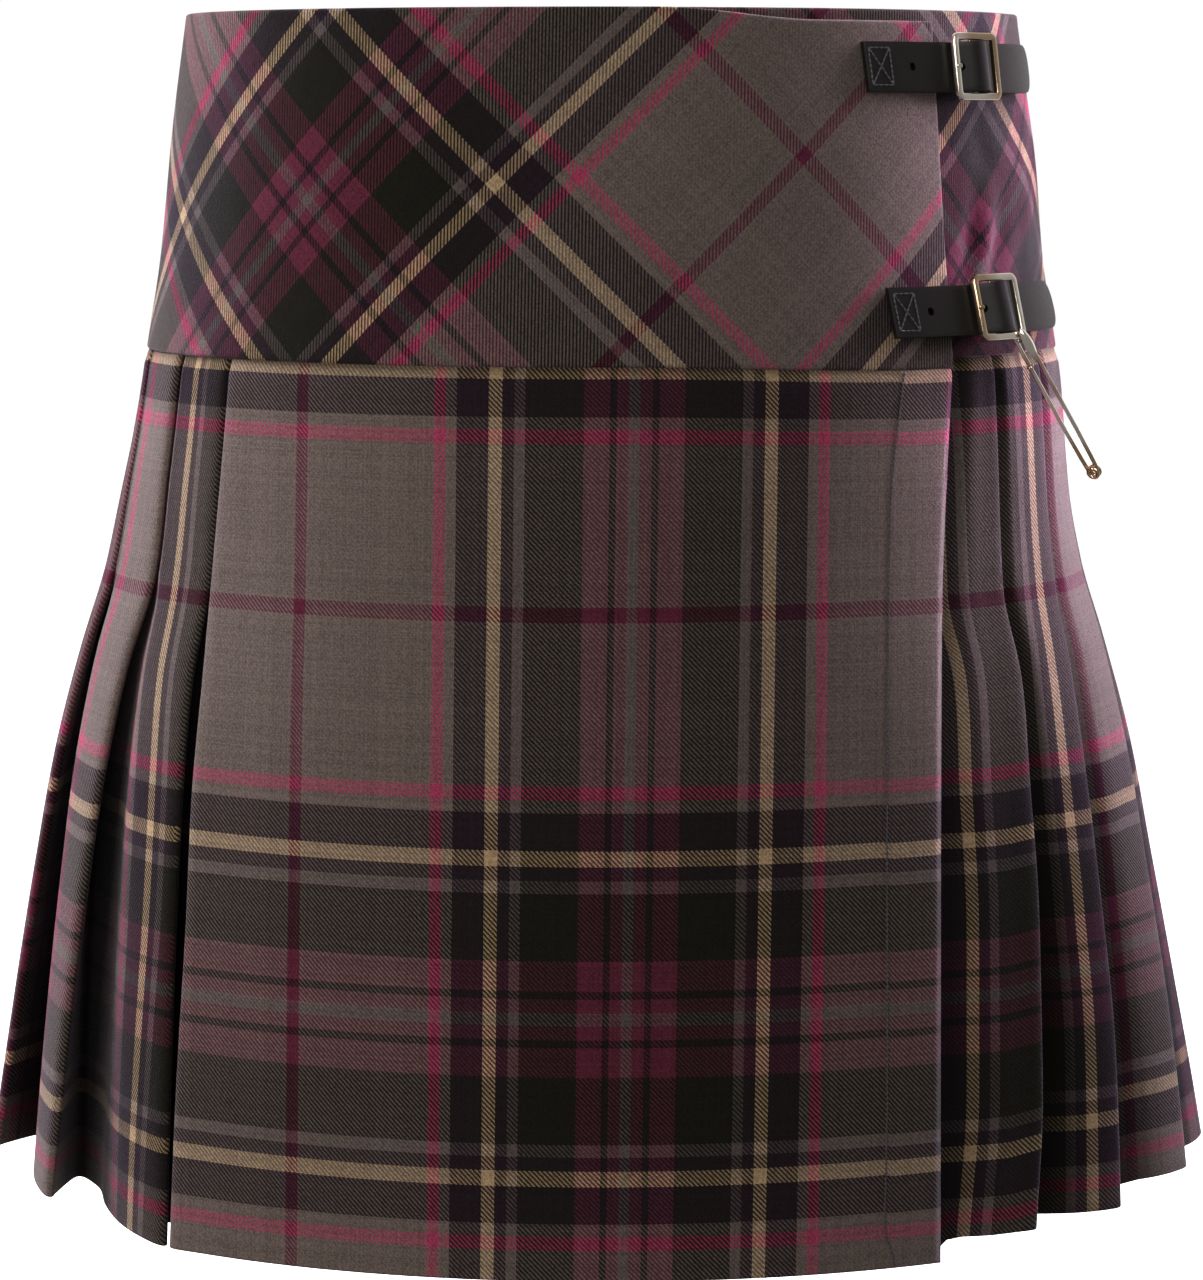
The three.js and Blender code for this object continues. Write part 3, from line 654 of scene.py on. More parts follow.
# One pleat's middle line, from its hidden inner fold, out over the face, round the ridge and in.
# "ridge" 0 is measured from the ridge before it and 1 from its own. Sewn shut, a point lies
# "depths" fold depths and "shut_on" on from there; at the hem it lies "open_on" on, at a pitch
# of 50. "steps" is how finely the stretch to the next point is drawn.
PLEAT_LINE = {
    "ridge": [0, 0, 0, 0, 1, 1, 1, 1, 1, 1, 1, 1],
    "depths": [-1, -1, -0.5, 0, -1, -1, -0.5, 0, 0, 0, -0.5, -1],
    "shut_on": [-0.75, 0, 0, 0, -1.7, 0, 0, 0, 0.75, 0, 0, 0],
    "shut_in": [3.08] + 3 * [DEEPEST_IN] + 4 * [FACE_IN] + [1.43] + 3 * [TURNED_IN],
    "open_on": [-13, -12, -5, 3, -36, -22, -10, -1, 0, -1.2, -7, -12],
    "open_in": [19.5, 21, 22, 21, 14, 6.5, 2.2, 0.6, 1.6, 3.2, 10.5, 17],
    "steps": [3, 4, 4, 5, 3, 5, 5, 3, 3, 4, 4, 3],
}
RIDGE_ROW = 4
SKIRT_STEP = 5
skirt_drops = spaced(SKIRT_TOP, LENGTH, SKIRT_STEP, CLOTH)


def opened(drops):
    return np.clip((drops - STITCHED_TO) / (LENGTH - STITCHED_TO), 0, 1) ** OPEN_POWER


OPEN = opened(skirt_drops)
GIRTH = girths(skirt_drops)
FOLD_AT = {name: read(FOLDS, name, skirt_drops) for name in FOLDS if name != "drop"}


def ridge_at(k):
    """Where a ridge lies at every drop: 0 is the under-apron's, and the last is beside the apron."""
    if k == 0:
        return FOLD_AT["right1"]
    if k == PLEAT_COUNT:
        return GIRTH + FOLD_AT["left1"]
    first, last = FOLD_AT["right2"], GIRTH + FOLD_AT["left2"]
    return first + (last - first) * (k - 1) / (PLEAT_COUNT - 2)


def pitch_at(k):
    return ridge_at(max(k, 1)) - ridge_at(max(k, 1) - 1)


UNDER_APRON_RISE = 9.5


def depth_at(k):
    if k > 0:
        return pitch_at(k) * FOLD_SHARE
    return ridge_at(0) - FOLD_AT["apron_edge"] - UNDER_APRON_RISE


def fold_points(side, k):
    """The points of one side of a pleat: 0 the layer that lies deepest, 1 the face and ridge."""
    points = []
    for values in zip(*PLEAT_LINE.values()):
        row = dict(zip(PLEAT_LINE, values))
        if row["ridge"] != side:
            continue
        shut = ridge_at(k) + row["depths"] * depth_at(k) + row["shut_on"]
        fallen = ridge_at(k) + row["open_on"] * pitch_at(k) / OPEN_PITCH
        sink = row["shut_in"] + (row["open_in"] - row["shut_in"]) * OPEN
        points.append({"along": shut + (fallen - shut) * OPEN, "out": -sink, "steps": row["steps"]})
    return points


def drawn(points):
    """A smooth line through points at every drop, and the place in it of each point."""
    at = np.stack([np.stack([p["along"], p["out"]], axis=-1) for p in points], axis=1)
    before = 2 * at[:, :1] - at[:, 1:2]
    after = 2 * at[:, -1:] - at[:, -2:-1]
    at = np.concatenate([before, at, after], axis=1)
    line, marks = [], []
    for i in range(len(points) - 1):
        p0, p1, p2, p3 = (at[:, i + n] for n in range(4))
        spans = (p1 - p0, p2 - p1, p3 - p2)
        far = [np.sqrt(np.maximum(np.linalg.norm(s, axis=1), 1e-6))[:, None] for s in spans]
        m1 = far[1] * ((p1 - p0) / far[0] - (p2 - p0) / (far[0] + far[1]) + (p2 - p1) / far[1])
        m2 = far[1] * ((p2 - p1) / far[1] - (p3 - p1) / (far[1] + far[2]) + (p3 - p2) / far[2])
        marks.append(len(line))
        for step in range(points[i]["steps"]):
            t = step / points[i]["steps"]
            line.append((2 * t ** 3 - 3 * t ** 2 + 1) * p1 + (t ** 3 - 2 * t ** 2 + t) * m1
                        + (3 * t ** 2 - 2 * t ** 3) * p2 + (t ** 3 - t ** 2) * m2)
    marks.append(len(line))
    line.append(at[:, -2])
    return np.stack(line, axis=1), marks


# How much higher a point hangs than in front, once the pleats have opened, and how much shorter
# the hem is cut, going both ways from the front's middle.
HANG = {
    "along": [-615, -270, -215, -160, 120.5, 127, 150, 172, 200, 225, 615],
    "higher": [12, 13.5, 5, 0, 0, 0, 0, 4, 4.5, 9, 12],
    "shorter": [3, 3, 3, 2.4, 2.3, 8.5, 8.5, 5.4, 5, 4.2, 3],
}
HEM_DEEP = 60
# The left side stands out fuller and the right is drawn in, more and more between two drops. The
# right loses half of that again lower down.
SIDE_WIDE = 70
LEFT_FULLER = {"by": 3.2, "from": 121, "to": 190}
RIGHT_TIGHTER = {"by": 2.4, "from": 130, "to": 185}
RIGHT_LOOSENS = (300, 400)


def skirt_row(drop, along, out):
    """Points of the skirt at one drop, as they hang, and how much shorter each is cut."""
    girth = outline(drop)[1][-1]
    signed = both_ways(along, girth)

    def moved(change, side):
        near = np.exp(-((signed - side * girth / 4) / SIDE_WIDE) ** 2)
        return change["by"] * near * smooth_step(change["from"], change["to"], drop)
    tight = moved(RIGHT_TIGHTER, 1) * (1 - smooth_step(*RIGHT_LOOSENS, drop) / 2)
    points = place_row(drop, along, out + moved(LEFT_FULLER, -1) - tight)
    shorter = np.interp(signed, HANG["along"], HANG["shorter"])
    shorter = shorter * smooth_step(LENGTH - HEM_DEEP, LENGTH, drop)
    higher = np.interp(signed, HANG["along"], HANG["higher"]) * opened(drop)
    points[..., 2] += (higher + shorter) * MM
    return points, shorter


# Just under the yoke's foot the skirt is tucked in, and little light gets into the seam.
TUCK = 1.3
TUCK_DEEP = (-0.4, 1.6)
SEAM_SHADE = 9
SEAM_SHADE_DEEP = (-0.2, 2.4)
# Where the facing of the apron's right edge is stitched down, and how far its lines lie lower.
FACING = {
    "drop": [119, 123, 161, 200, 252, 384, 414, 427, 430],
    "along": [109, 108.6, 103.3, 101.5, 99.8, 99, 98.3, 101.7, 102],
}
FACING_SLIP = 0.6


def skirt_panel(name, points, anchors, faced=False):
    """A skirt panel through points. anchors says which point is which thread of the cloth."""
    line, marks = drawn(points)
    rows, weave = [], []
    for j, drop in enumerate(skirt_drops):
        along, out = line[j, :, 0], line[j, :, 1]
        foot = YOKE_FOOT + (sag_towards_edge(FOOT_SAG, along) if faced else 0)
        tucked = 1 - smooth_step(foot + TUCK_DEEP[0], foot + TUCK_DEEP[1], drop)
        out = out - TUCK * tucked
        walked = np.concatenate([[0], np.cumsum(np.hypot(np.diff(along), np.diff(out)))])
        past_facing = smooth_step(-0.5, 0.5, along - read(FACING, "along", drop))
        slip = FACING_SLIP * past_facing if faced else 0
        known = [walked[marks[i]] for i, _ in anchors]
        threads = [np.broadcast_to(thread, len(skirt_drops))[j] for _, thread in anchors]
        across = np.interp(walked, known, threads)
        across += np.minimum(walked - known[0], 0) + np.maximum(walked - known[-1], 0)
        points_here, shorter = skirt_row(drop, along, out)
        rows.append(points_here)
        sunk = (foot - YOKE_FOOT) * (1 - smooth_step(YOKE_FOOT, STITCHED_TO, drop))
        down = drop - shorter - WEFT_PIVOT - slip - sunk
        seam = smooth_step(foot + SEAM_SHADE_DEEP[0], foot + SEAM_SHADE_DEEP[1], drop)
        shade = SEAM_SHADE * (1 - seam)
        weave.append(np.stack([across, down + 0 * across, shade - out], axis=-1))
    return cloth_wall(name, rows, CLOTH, weave)


# Which thread of the sett lies at each ridge, in millimetres across the cloth.
WEFT_PIVOT = 202.8
CLOTH_A_PLEAT = 88.5
LAST_COUNTED_FROM_RIGHT = 9
RIGHT_THREAD = 88.3
UNDER_APRON_THREAD = 98.3
# The first pleat on the left is pushed over at mid-height, and its threads slide round the ridge.
LEFT_THREAD = 93 - 7 * np.exp(-((skirt_drops - 300) / 80) ** 2)
LEFT_SECOND_THREAD = -33
PLEAT_PANELS = [
    {"name": "pleats_right", "first": 1, "last": 4},
    {"name": "pleats_back_right", "first": 5, "last": 9},
    {"name": "pleats_back_left", "first": 10, "last": 14},
    {"name": "pleats_left", "first": 15, "last": 18},
]
BOX_UNDER_APRON = 26
BOX_OPEN_IN = (17, 13.5)
# The last pleat on the left runs on, inside the apron, with this much more cloth.
BOX_CLOTH = 60


def sunk_at(fold, on, shut, fallen, steps):
    """A point on from a fold, so far in while it is sewn shut and so far in at the hem."""
    return {"along": fold + on, "out": -(shut + (fallen - shut) * OPEN), "steps": steps}


def thread_of_ridge(k):
    if k <= LAST_COUNTED_FROM_RIGHT:
        return RIGHT_THREAD + CLOTH_A_PLEAT * k
    if k == PLEAT_COUNT:
        return LEFT_THREAD
    return LEFT_SECOND_THREAD - CLOTH_A_PLEAT * (PLEAT_COUNT - 1 - k)


for panel in PLEAT_PANELS:
    points, anchors = [], []
    for k in range(panel["first"], panel["last"] + 1):
        points += fold_points(0, k - 1) + fold_points(1, k)
        anchors.append((len(points) - 1 - RIDGE_ROW, thread_of_ridge(k)))
    if panel["last"] < PLEAT_COUNT:
        points.append(fold_points(0, panel["last"])[0])
    else:
        apron_fold = GIRTH + FOLD_AT["apron_fold"]
        points += fold_points(0, PLEAT_COUNT)
        points.append(sunk_at(apron_fold, BOX_UNDER_APRON / 2, DEEPEST_IN, BOX_OPEN_IN[0], 4))
        points.append(sunk_at(apron_fold, BOX_UNDER_APRON, DEEPEST_IN, BOX_OPEN_IN[1], 4))
    points = points[1:]
    anchors = [(i - 1, thread) for i, thread in anchors]
    pleats = skirt_panel(panel["name"] + "_cloth", points, anchors)
    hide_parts(panel["name"])
    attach(pleats, "garment")
    width = CLOTH_A_PLEAT * (panel["last"] - panel["first"] + 1)
    width += BOX_CLOTH if panel["last"] == PLEAT_COUNT else 0


# The under-apron
# It passes inside the apron from the left, is flat where it is hidden, and its right end is the
# first pleat: the ridge that stands just past the apron's free edge.

UNDER_APRON_START = -98
UNDER_APRON_STEPS = 14
UNDER_APRON_PAST_EDGE = 1.5
UNDER_APRON_OPEN_IN = 9
FIRST_FACE_PAST_EDGE = 8
FIRST_FACE_OPEN_IN = 3
under_end = FOLD_AT["apron_edge"] + UNDER_APRON_PAST_EDGE
points = []
for i in range(UNDER_APRON_STEPS + 1):
    along = UNDER_APRON_START + (under_end - UNDER_APRON_START) * i / UNDER_APRON_STEPS
    points.append(sunk_at(along, 0, DEEPEST_IN, UNDER_APRON_OPEN_IN, 4))
face = fold_points(1, 0)[1:]
face[0]["along"] = np.maximum(face[0]["along"], FOLD_AT["apron_edge"] + FIRST_FACE_PAST_EDGE)
face[0]["out"] = -FACE_IN - FIRST_FACE_OPEN_IN * OPEN
points += face
ridge_point = len(points) - RIDGE_ROW - 1
points.append(fold_points(0, 0)[0])
apron_under = skirt_panel("apron_under_cloth", points, [(ridge_point, UNDER_APRON_THREAD)])
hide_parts("apron_under")
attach(apron_under, "garment")


# The apron
# One flat panel of the same cloth on the straight grain. Its left edge is folded under beside
# the inverted pleat, and its right edge is faced and free from the yoke to the hem.

APRON_STEPS = 20
APRON_THREAD = 107.0
# The lines of the cloth lean and close by this much over the fall of the apron.
LINES_LEAN = 1.5
LINES_CLOSE = 0.02
LINES_FROM = 150
LINES_OVER = 280
# The fold at its left: points on from the fold, from the turned part to the face.
APRON_FOLD = {
    "on": [BOX_UNDER_APRON, BOX_UNDER_APRON / 2, 0, -0.75, 0, BOX_UNDER_APRON / 2],
    "shut_in": [TURNED_IN, TURNED_IN, TURNED_IN, 1.43, FACE_IN, FACE_IN],
    "open_in": [9.5, 6.5, 2.9, 1.7, FACE_IN, FACE_IN],
    "steps": [5, 5, 3, 3, 5, 5],
}


def apron_thread(along):
    """Which thread lies at a distance along, at every drop."""
    fall = (skirt_drops - LINES_FROM) / LINES_OVER
    return (along + APRON_THREAD + LINES_LEAN * fall) * (1 + LINES_CLOSE * fall)


fold, edge = FOLD_AT["apron_fold"], FOLD_AT["apron_edge"]
points = [sunk_at(fold, *values) for values in zip(*APRON_FOLD.values())]
start = fold + BOX_UNDER_APRON
first_flat = len(points)
for i in range(APRON_STEPS + 1):
    along = start + (edge - start) * i / APRON_STEPS
    points.append(sunk_at(along, 0, FACE_IN, FACE_IN, 4))
anchors = [(first_flat, apron_thread(start)), (len(points) - 1, apron_thread(edge))]
apron_over = skirt_panel("apron_over_cloth", points, anchors, faced=True)
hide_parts("apron_over")
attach(apron_over, "garment")


# The straps
# Two straps of black 5/8 in leather, 2 mm thick, with a rounded tip and punched holes.
# Each lies sewn to the yoke's front at its left end, and comes up over its buckle's middle bar.

STRAPS = [
    {"name": "upper", "drop": 20, "along": 140.5, "start": -48, "hole": -29, "tip": 52, "tilt": 0},
    {"name": "lower", "drop": 103.5, "along": 149, "start": -47, "hole": -31, "tip": 50, "tilt": 0.1},
]
STRAP_HALF_WIDTH = 8.5
STRAP_TILT_FROM = 7.8
STRAP_WALL = 2
STRAP_TIP = 11
# How much of the columns is straight, how square the tip's curve is, and how near it closes.
STRAIGHT_SHARE = 0.72
TIP_SQUARE = 2.3
TIP_CLOSES = 0.992
STRAP_COLUMNS = 84
STRAP_ROWS = 10
HOLE_RADIUS = 1.4
PRONG_HOLE = -7.4
PRONG_HOLE_RADIUS = 1.7
# How far out the strap's middle lies: on the yoke, under the frame, over the bar, under again.
STRAP_RUN = {
    "drop": [-48, -17.5, -13.5, -9.4, -5.2, -2.4, 0.5, 3.2, 6, 9.4, 13.5, 18.5, 52],
    "out": [1.35, 1.4, 1.7, 1.9, 4.2, 6, 6.6, 5.9, 3.8, 2, 1.7, 1.4, 1.4],
}

leather, wire, shader = new_finish("strap leather", Specular_IOR_Level=0.2)
place = wire.node("ShaderNodeTexCoord", output=3)
grain = place.node("ShaderNodeTexNoise", values={"Vector": place, "Scale": 900, "Detail": 4})
pores = place.node("ShaderNodeTexVoronoi", values={"Vector": place, "Scale": 2600})
black = grain.mixed(colour(12, 10, 9), colour(30, 26, 23))
join(leather.node_tree, black, shader.inputs["Base Color"])
join(leather.node_tree, 0.36 + 0.2 * grain, shader.inputs["Roughness"])
hide = 0.5 * grain + 0.5 * pores
bump = hide.node("ShaderNodeBump", values={"Strength": 0.3, "Distance": 0.00004, "Height": hide})
join(leather.node_tree, bump, shader.inputs["Normal"])


@functools.lru_cache(maxsize=None)
def stand_at(drop, along, tilt):
    """A frame on the outline, from millimetres: x along it, y up it and z out of it."""
    reach = 4

    def at(low, beside, out=0):
        return Vector(place_row(low, np.array([beside]), out)[0])

    def same_place(low):
        return along / girths([drop])[0] * girths([low])[0]
    x = (at(drop, along + reach) - at(drop, along - reach)).normalized()
    above = at(drop - reach, same_place(drop - reach), -reach * tilt)
    below = at(drop + reach, same_place(drop + reach), reach * tilt)
    z = x.cross(above - below).normalized()
    y = z.cross(x)
    stand = Matrix((x, y, z)).transposed().to_4x4()
    stand.translation = at(drop, along)
    return stand @ Matrix.Scale(MM, 4)


def on_strap(strap, on, height, out):
    """A point over the buckle's place: on along, height up the slope, and out from it."""
    stand = stand_at(strap["drop"], strap["along"], strap["tilt"])
    lean = stand[2][2] / math.hypot(stand[0][2], stand[1][2])
    drop = strap["drop"] - height
    middle = strap["along"] * girths([drop])[0] / girths([strap["drop"]])[0]
    tipped = out + strap["tilt"] * (STRAP_TILT_FROM - height)
    point = Vector(place_row(drop, np.array([middle + on]), tipped)[0])
    point.z += out * lean * MM
    return point


def strap_point(strap, on, height, lift):
    """A point of the strap itself, lift being how far it lies out from the leather's middle."""
    out = read(STRAP_RUN, "out", on)
    point = on_strap(strap, on, height, out)
    ahead = on_strap(strap, on + 1, height, read(STRAP_RUN, "out", on + 1)) - point
    above = on_strap(strap, on, height + 1, out) - point
    return point + ahead.cross(above).normalized() * lift * MM


def finished(piece, name, material):
    piece.name = name
    piece.data.name = name
    piece.data.materials.clear()
    piece.data.materials.append(material)
    bpy.ops.object.select_all(action="DESELECT")
    piece.select_set(True)
    bpy.context.view_layer.objects.active = piece
    bpy.ops.object.shade_smooth_by_angle(angle=math.radians(40))
    return piece


def applied(piece, kind, **settings):
    """Adds a modifier to a piece and applies it."""
    bpy.ops.object.select_all(action="DESELECT")
    piece.select_set(True)
    bpy.context.view_layer.objects.active = piece
    modifier = piece.modifiers.new(kind, kind)
    for name, value in settings.items():
        setattr(modifier, name, value)
    bpy.ops.object.modifier_apply(modifier=modifier.name)


def sized(piece, size):
    """Sets a primitive's size for good."""
    piece.scale = size
    bpy.ops.object.transform_apply(location=True, rotation=True, scale=True)
    return piece


def drilled(piece, on, radius):
    bpy.ops.mesh.primitive_cylinder_add(vertices=20, radius=radius, depth=8, location=(on, 0, 0))
    drill = bpy.context.object
    applied(piece, "BOOLEAN", operation="DIFFERENCE", object=drill, solver="EXACT")
    bpy.data.objects.remove(drill)


def new_strap(strap):
    bpy.ops.mesh.primitive_grid_add(x_subdivisions=STRAP_COLUMNS, y_subdivisions=STRAP_ROWS, size=2)
    piece = bpy.context.object
    straight = strap["tip"] - STRAP_TIP
    for vertex in piece.data.vertices:
        share = (vertex.co.x + 1) / 2
        if share < STRAIGHT_SHARE:
            on = strap["start"] + (straight - strap["start"]) * share / STRAIGHT_SHARE
            squeeze = 1
        else:
            round_share = (share - STRAIGHT_SHARE) / (1 - STRAIGHT_SHARE)
            turn = math.sin(round_share * math.pi / 2) * TIP_CLOSES
            on = straight + STRAP_TIP * turn
            squeeze = (1 - turn ** TIP_SQUARE) ** (1 / TIP_SQUARE)
        vertex.co = (on, vertex.co.y * STRAP_HALF_WIDTH * squeeze, 0)
    applied(piece, "SOLIDIFY", thickness=STRAP_WALL, offset=0)
    applied(piece, "BEVEL", width=0.4, segments=3, limit_method="ANGLE")
    drilled(piece, strap["hole"], HOLE_RADIUS)
    drilled(piece, PRONG_HOLE, PRONG_HOLE_RADIUS)
    for vertex in piece.data.vertices:
        vertex.co = strap_point(strap, *vertex.co)
    return finished(piece, "strap_" + strap["name"] + "_leather", leather)


for strap in STRAPS:
    piece = new_strap(strap)
    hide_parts("strap_" + strap["name"])
    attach(piece, "garment")
    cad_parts["buckle_tab_" + strap["name"]].data.materials.clear()
    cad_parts["buckle_tab_" + strap["name"]].data.materials.append(leather)


# The straps' stitching
# Each strap's left end is sewn to the yoke with waxed black thread, in a box with a cross inside
# it. The stitches are about 2 mm long and lie on the leather.

BOX_FROM = 1.6
BOX_LONG = 8.4
BOX_HALF = 6.3
STITCH = 1.9
THREAD_THICK = 0.7
THREAD_PROUD = 0.05

thread, wire, shader = new_finish("black thread", Specular_IOR_Level=0.4, Roughness=0.5)
place = wire.node("ShaderNodeTexCoord", output=3)
twist = place.node("ShaderNodeTexNoise", values={"Vector": place, "Scale": 6000, "Detail": 2})
# The twist noise varies the black thread's colour along its fibres, and the light blue-grey it mixes
# in is painted sheen of the waxed thread.
twist_and_sheen = twist.mixed(colour(24, 23, 25), colour(84, 83, 88))
join(thread.node_tree, twist_and_sheen, shader.inputs["Base Color"])

bpy.ops.mesh.primitive_uv_sphere_add(segments=8, ring_count=8, radius=1)
stitch = sized(bpy.context.object, (STITCH * 0.52, THREAD_THICK / 2, THREAD_THICK / 2))


def sewn(name, lines, surface):
    """Stitches along straight lines, laid on a surface given as a point for each place in it."""
    stitches = []
    for start, end in lines:
        start, end = Vector(start), Vector(end)
        count = max(1, round((end - start).length / STITCH))
        for i in range(count):
            here = start.lerp(end, (i + 0.5) / count)
            point = surface(*here)
            ahead = surface(*(here + (end - start) / count / 2)) - point
            beside = surface(*(here + Vector((start.y - end.y, end.x - start.x)) / count / 2)) - point
            x = ahead.normalized()
            z = ahead.cross(beside).normalized()
            turn = Matrix((x, z.cross(x), z)).transposed().to_4x4()
            one = stitch.copy()
            one.data = stitch.data.copy()
            one.data.transform(Matrix.Translation(point) @ turn @ Matrix.Scale(MM, 4))
            bpy.context.scene.collection.objects.link(one)
            stitches.append(one)
    bpy.ops.object.select_all(action="DESELECT")
    for one in stitches:
        one.select_set(True)
    bpy.context.view_layer.objects.active = stitches[0]
    bpy.ops.object.join()
    return finished(bpy.context.object, name, thread)


for strap in STRAPS:
    left, right = strap["start"] + BOX_FROM, strap["start"] + BOX_FROM + BOX_LONG
    corners = [(left, -BOX_HALF), (right, -BOX_HALF), (right, BOX_HALF), (left, BOX_HALF)]
    lines = [(corners[i], corners[(i + 1) % 4]) for i in range(4)]
    lines += [(corners[0], corners[2]), (corners[1], corners[3])]

    def on_leather(on, height):
        return strap_point(strap, on, height, STRAP_WALL / 2 + THREAD_PROUD)
    piece = sewn("strap_" + strap["name"] + "_thread", lines, on_leather)
    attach(piece, "garment")


# The apron's stitching
# The facing inside the apron's right edge is sewn down by one row of dark thread, from the yoke
# to the hem, that wavers where it passes through the hem.

FACING_ROW = [((SKIRT_TOP + 2, 0), (LENGTH - 0.8, 0))]
FACING_THREAD_PROUD = 0.02


def beside_facing(drop, beside):
    along = np.array([read(FACING, "along", drop) + beside])
    return Vector(skirt_row(drop, along, FACING_THREAD_PROUD)[0][0])


piece = sewn("apron_facing_thread", FACING_ROW, beside_facing)
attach(piece, "garment")
bpy.data.objects.remove(stitch)


# The buckles
# Nickel-plated cast frames with rounded corners, each with a round middle bar that the prong and
# the leather tab turn on. The strap covers the bar. Both buckles are alike.

FRAME_HALF = (12.4, 11.7, 1.0)
FRAME_BAND = 2.5
FRAME_OUT = 4.4
FRAME_CORNER = 3.0
BAR_OUT = 3
BAR_RADIUS = 0.9

nickel, wire, shader = new_finish("polished nickel", Metallic=1.0)
place = wire.node("ShaderNodeTexCoord", output=3)
swirl = place.node("ShaderNodeTexNoise", values={"Vector": place, "Scale": 45, "Detail": 1})
wear = place.node("ShaderNodeTexNoise", values={"Vector": place, "Scale": 1500, "Detail": 3})
plate = swirl.between(0.4, 0.6).mixed(colour(198, 170, 138), colour(246, 236, 220))
join(nickel.node_tree, plate, shader.inputs["Base Color"])
join(nickel.node_tree, 0.1 + 0.1 * wear, shader.inputs["Roughness"])


def select(piece, kind, test):
    """Selects the edges or faces whose corners pass a test, in edit mode."""
    bpy.ops.mesh.select_mode(type=kind)
    bpy.ops.mesh.select_all(action="DESELECT")
    bpy.ops.object.mode_set(mode="OBJECT")
    parts = piece.data.edges if kind == "EDGE" else piece.data.polygons
    for part in parts:
        part.select = test([piece.data.vertices[i].co for i in part.vertices])
    bpy.ops.object.mode_set(mode="EDIT")


def joined(pieces):
    bpy.ops.object.select_all(action="DESELECT")
    for piece in pieces:
        piece.select_set(True)
    bpy.context.view_layer.objects.active = pieces[0]
    bpy.ops.object.join()
    return bpy.context.object


bpy.ops.mesh.primitive_cube_add(size=2)
ring = sized(bpy.context.object, FRAME_HALF)
bpy.ops.object.mode_set(mode="EDIT")
select(ring, "EDGE", lambda points: abs(points[0].z - points[1].z) > 1)
bpy.ops.mesh.bevel(offset=FRAME_CORNER, segments=6)
select(ring, "FACE", lambda points: max(p.z for p in points) - min(p.z for p in points) < 0.01)
bpy.ops.mesh.inset(thickness=FRAME_BAND)
bpy.ops.mesh.delete(type="ONLY_FACE")
bpy.ops.mesh.select_mode(type="EDGE")
bpy.ops.mesh.select_all(action="DESELECT")
bpy.ops.mesh.select_non_manifold()
bpy.ops.mesh.bridge_edge_loops()
bpy.ops.mesh.select_all(action="SELECT")
bpy.ops.mesh.normals_make_consistent(inside=False)
bpy.ops.object.mode_set(mode="OBJECT")
applied(ring, "BEVEL", width=0.45, segments=4, limit_method="ANGLE", angle_limit=math.radians(50))
ring.data.transform(Matrix.Translation((0, 0, FRAME_OUT)))
bar_length = 2 * FRAME_HALF[1] - FRAME_BAND
bpy.ops.mesh.primitive_cylinder_add(
    vertices=20, radius=BAR_RADIUS, depth=bar_length,
    rotation=(math.pi / 2, 0, 0), location=(0, 0, BAR_OUT))
bar = sized(bpy.context.object, (1, 1, 1))
buckle = joined([ring, bar])


def fitted(pattern, strap, name, material):
    """A copy of a pattern, moved to its strap."""
    piece = pattern.copy()
    piece.data = pattern.data.copy()
    bpy.context.scene.collection.objects.link(piece)
    lift = Matrix.Translation((0, 0, strap["tilt"] * STRAP_TILT_FROM))
    piece.data.transform(stand_at(strap["drop"], strap["along"], strap["tilt"]) @ lift)
    return finished(piece, name, material)


for strap in STRAPS:
    piece = fitted(buckle, strap, "buckle_" + strap["name"] + "_frame", nickel)
    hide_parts("buckle_" + strap["name"])
    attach(piece, "garment")
bpy.data.objects.remove(buckle)


# The prongs
# Each is a short nickel tongue bent round the middle bar. It comes up through the strap's hole
# and its tip rests on the frame, and so the buckle stays fastened.

PRONG_LINE = [(-1.6, 2.6), (-5.2, 2.3), (-7.4, 3.6), (-9.4, 5.4), (-11, 6.1), (-13, 6.15)]
PRONG_SIZE = (1.5, 1.15)
PRONG_POINT = (1, 0.6, 0.5)
PRONG_EYE = (1.55, 0.55)

root = (PRONG_LINE[0][0], 0, PRONG_LINE[0][1])
bpy.ops.mesh.primitive_plane_add(size=1, rotation=(0, -math.pi / 2, 0), location=root)
tongue = bpy.context.object
bpy.ops.object.transform_apply(location=True, rotation=True, scale=True)
for vertex in tongue.data.vertices:
    vertex.co.y *= PRONG_SIZE[0]
    vertex.co.z = root[2] + (vertex.co.z - root[2]) * PRONG_SIZE[1]
bpy.ops.object.mode_set(mode="EDIT")
bpy.ops.mesh.select_all(action="SELECT")
for start, end in zip(PRONG_LINE, PRONG_LINE[1:]):
    step = (end[0] - start[0], 0, end[1] - start[1])
    bpy.ops.mesh.extrude_region_move(TRANSFORM_OT_translate={"value": step})
bpy.ops.transform.resize(value=PRONG_POINT)
bpy.ops.mesh.select_all(action="SELECT")
bpy.ops.mesh.normals_make_consistent(inside=False)
bpy.ops.object.mode_set(mode="OBJECT")
applied(tongue, "BEVEL", width=0.2, segments=2, limit_method="ANGLE")
applied(tongue, "SUBSURF", levels=2)
bpy.ops.mesh.primitive_torus_add(
    major_radius=PRONG_EYE[0], minor_radius=PRONG_EYE[1], major_segments=28, minor_segments=12,
    rotation=(math.pi / 2, 0, 0), location=(0, 0, BAR_OUT))
eye = sized(bpy.context.object, (1, 1, 1))
prong = joined([tongue, eye])

for strap in STRAPS:
    piece = fitted(prong, strap, "prong_" + strap["name"] + "_tongue", nickel)
    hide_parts("prong_" + strap["name"])
    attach(piece, "garment")
bpy.data.objects.remove(prong)


# The kilt pin
# A big safety pin of 1.5 mm nickel-plated wire, hung by its head from the lower buckle. The wire
# turns back in a coil at the foot, and a pressed leaf-shaped cap guards the point at the head.

PIN_LENGTH = 64
PIN_WIRE = 0.75
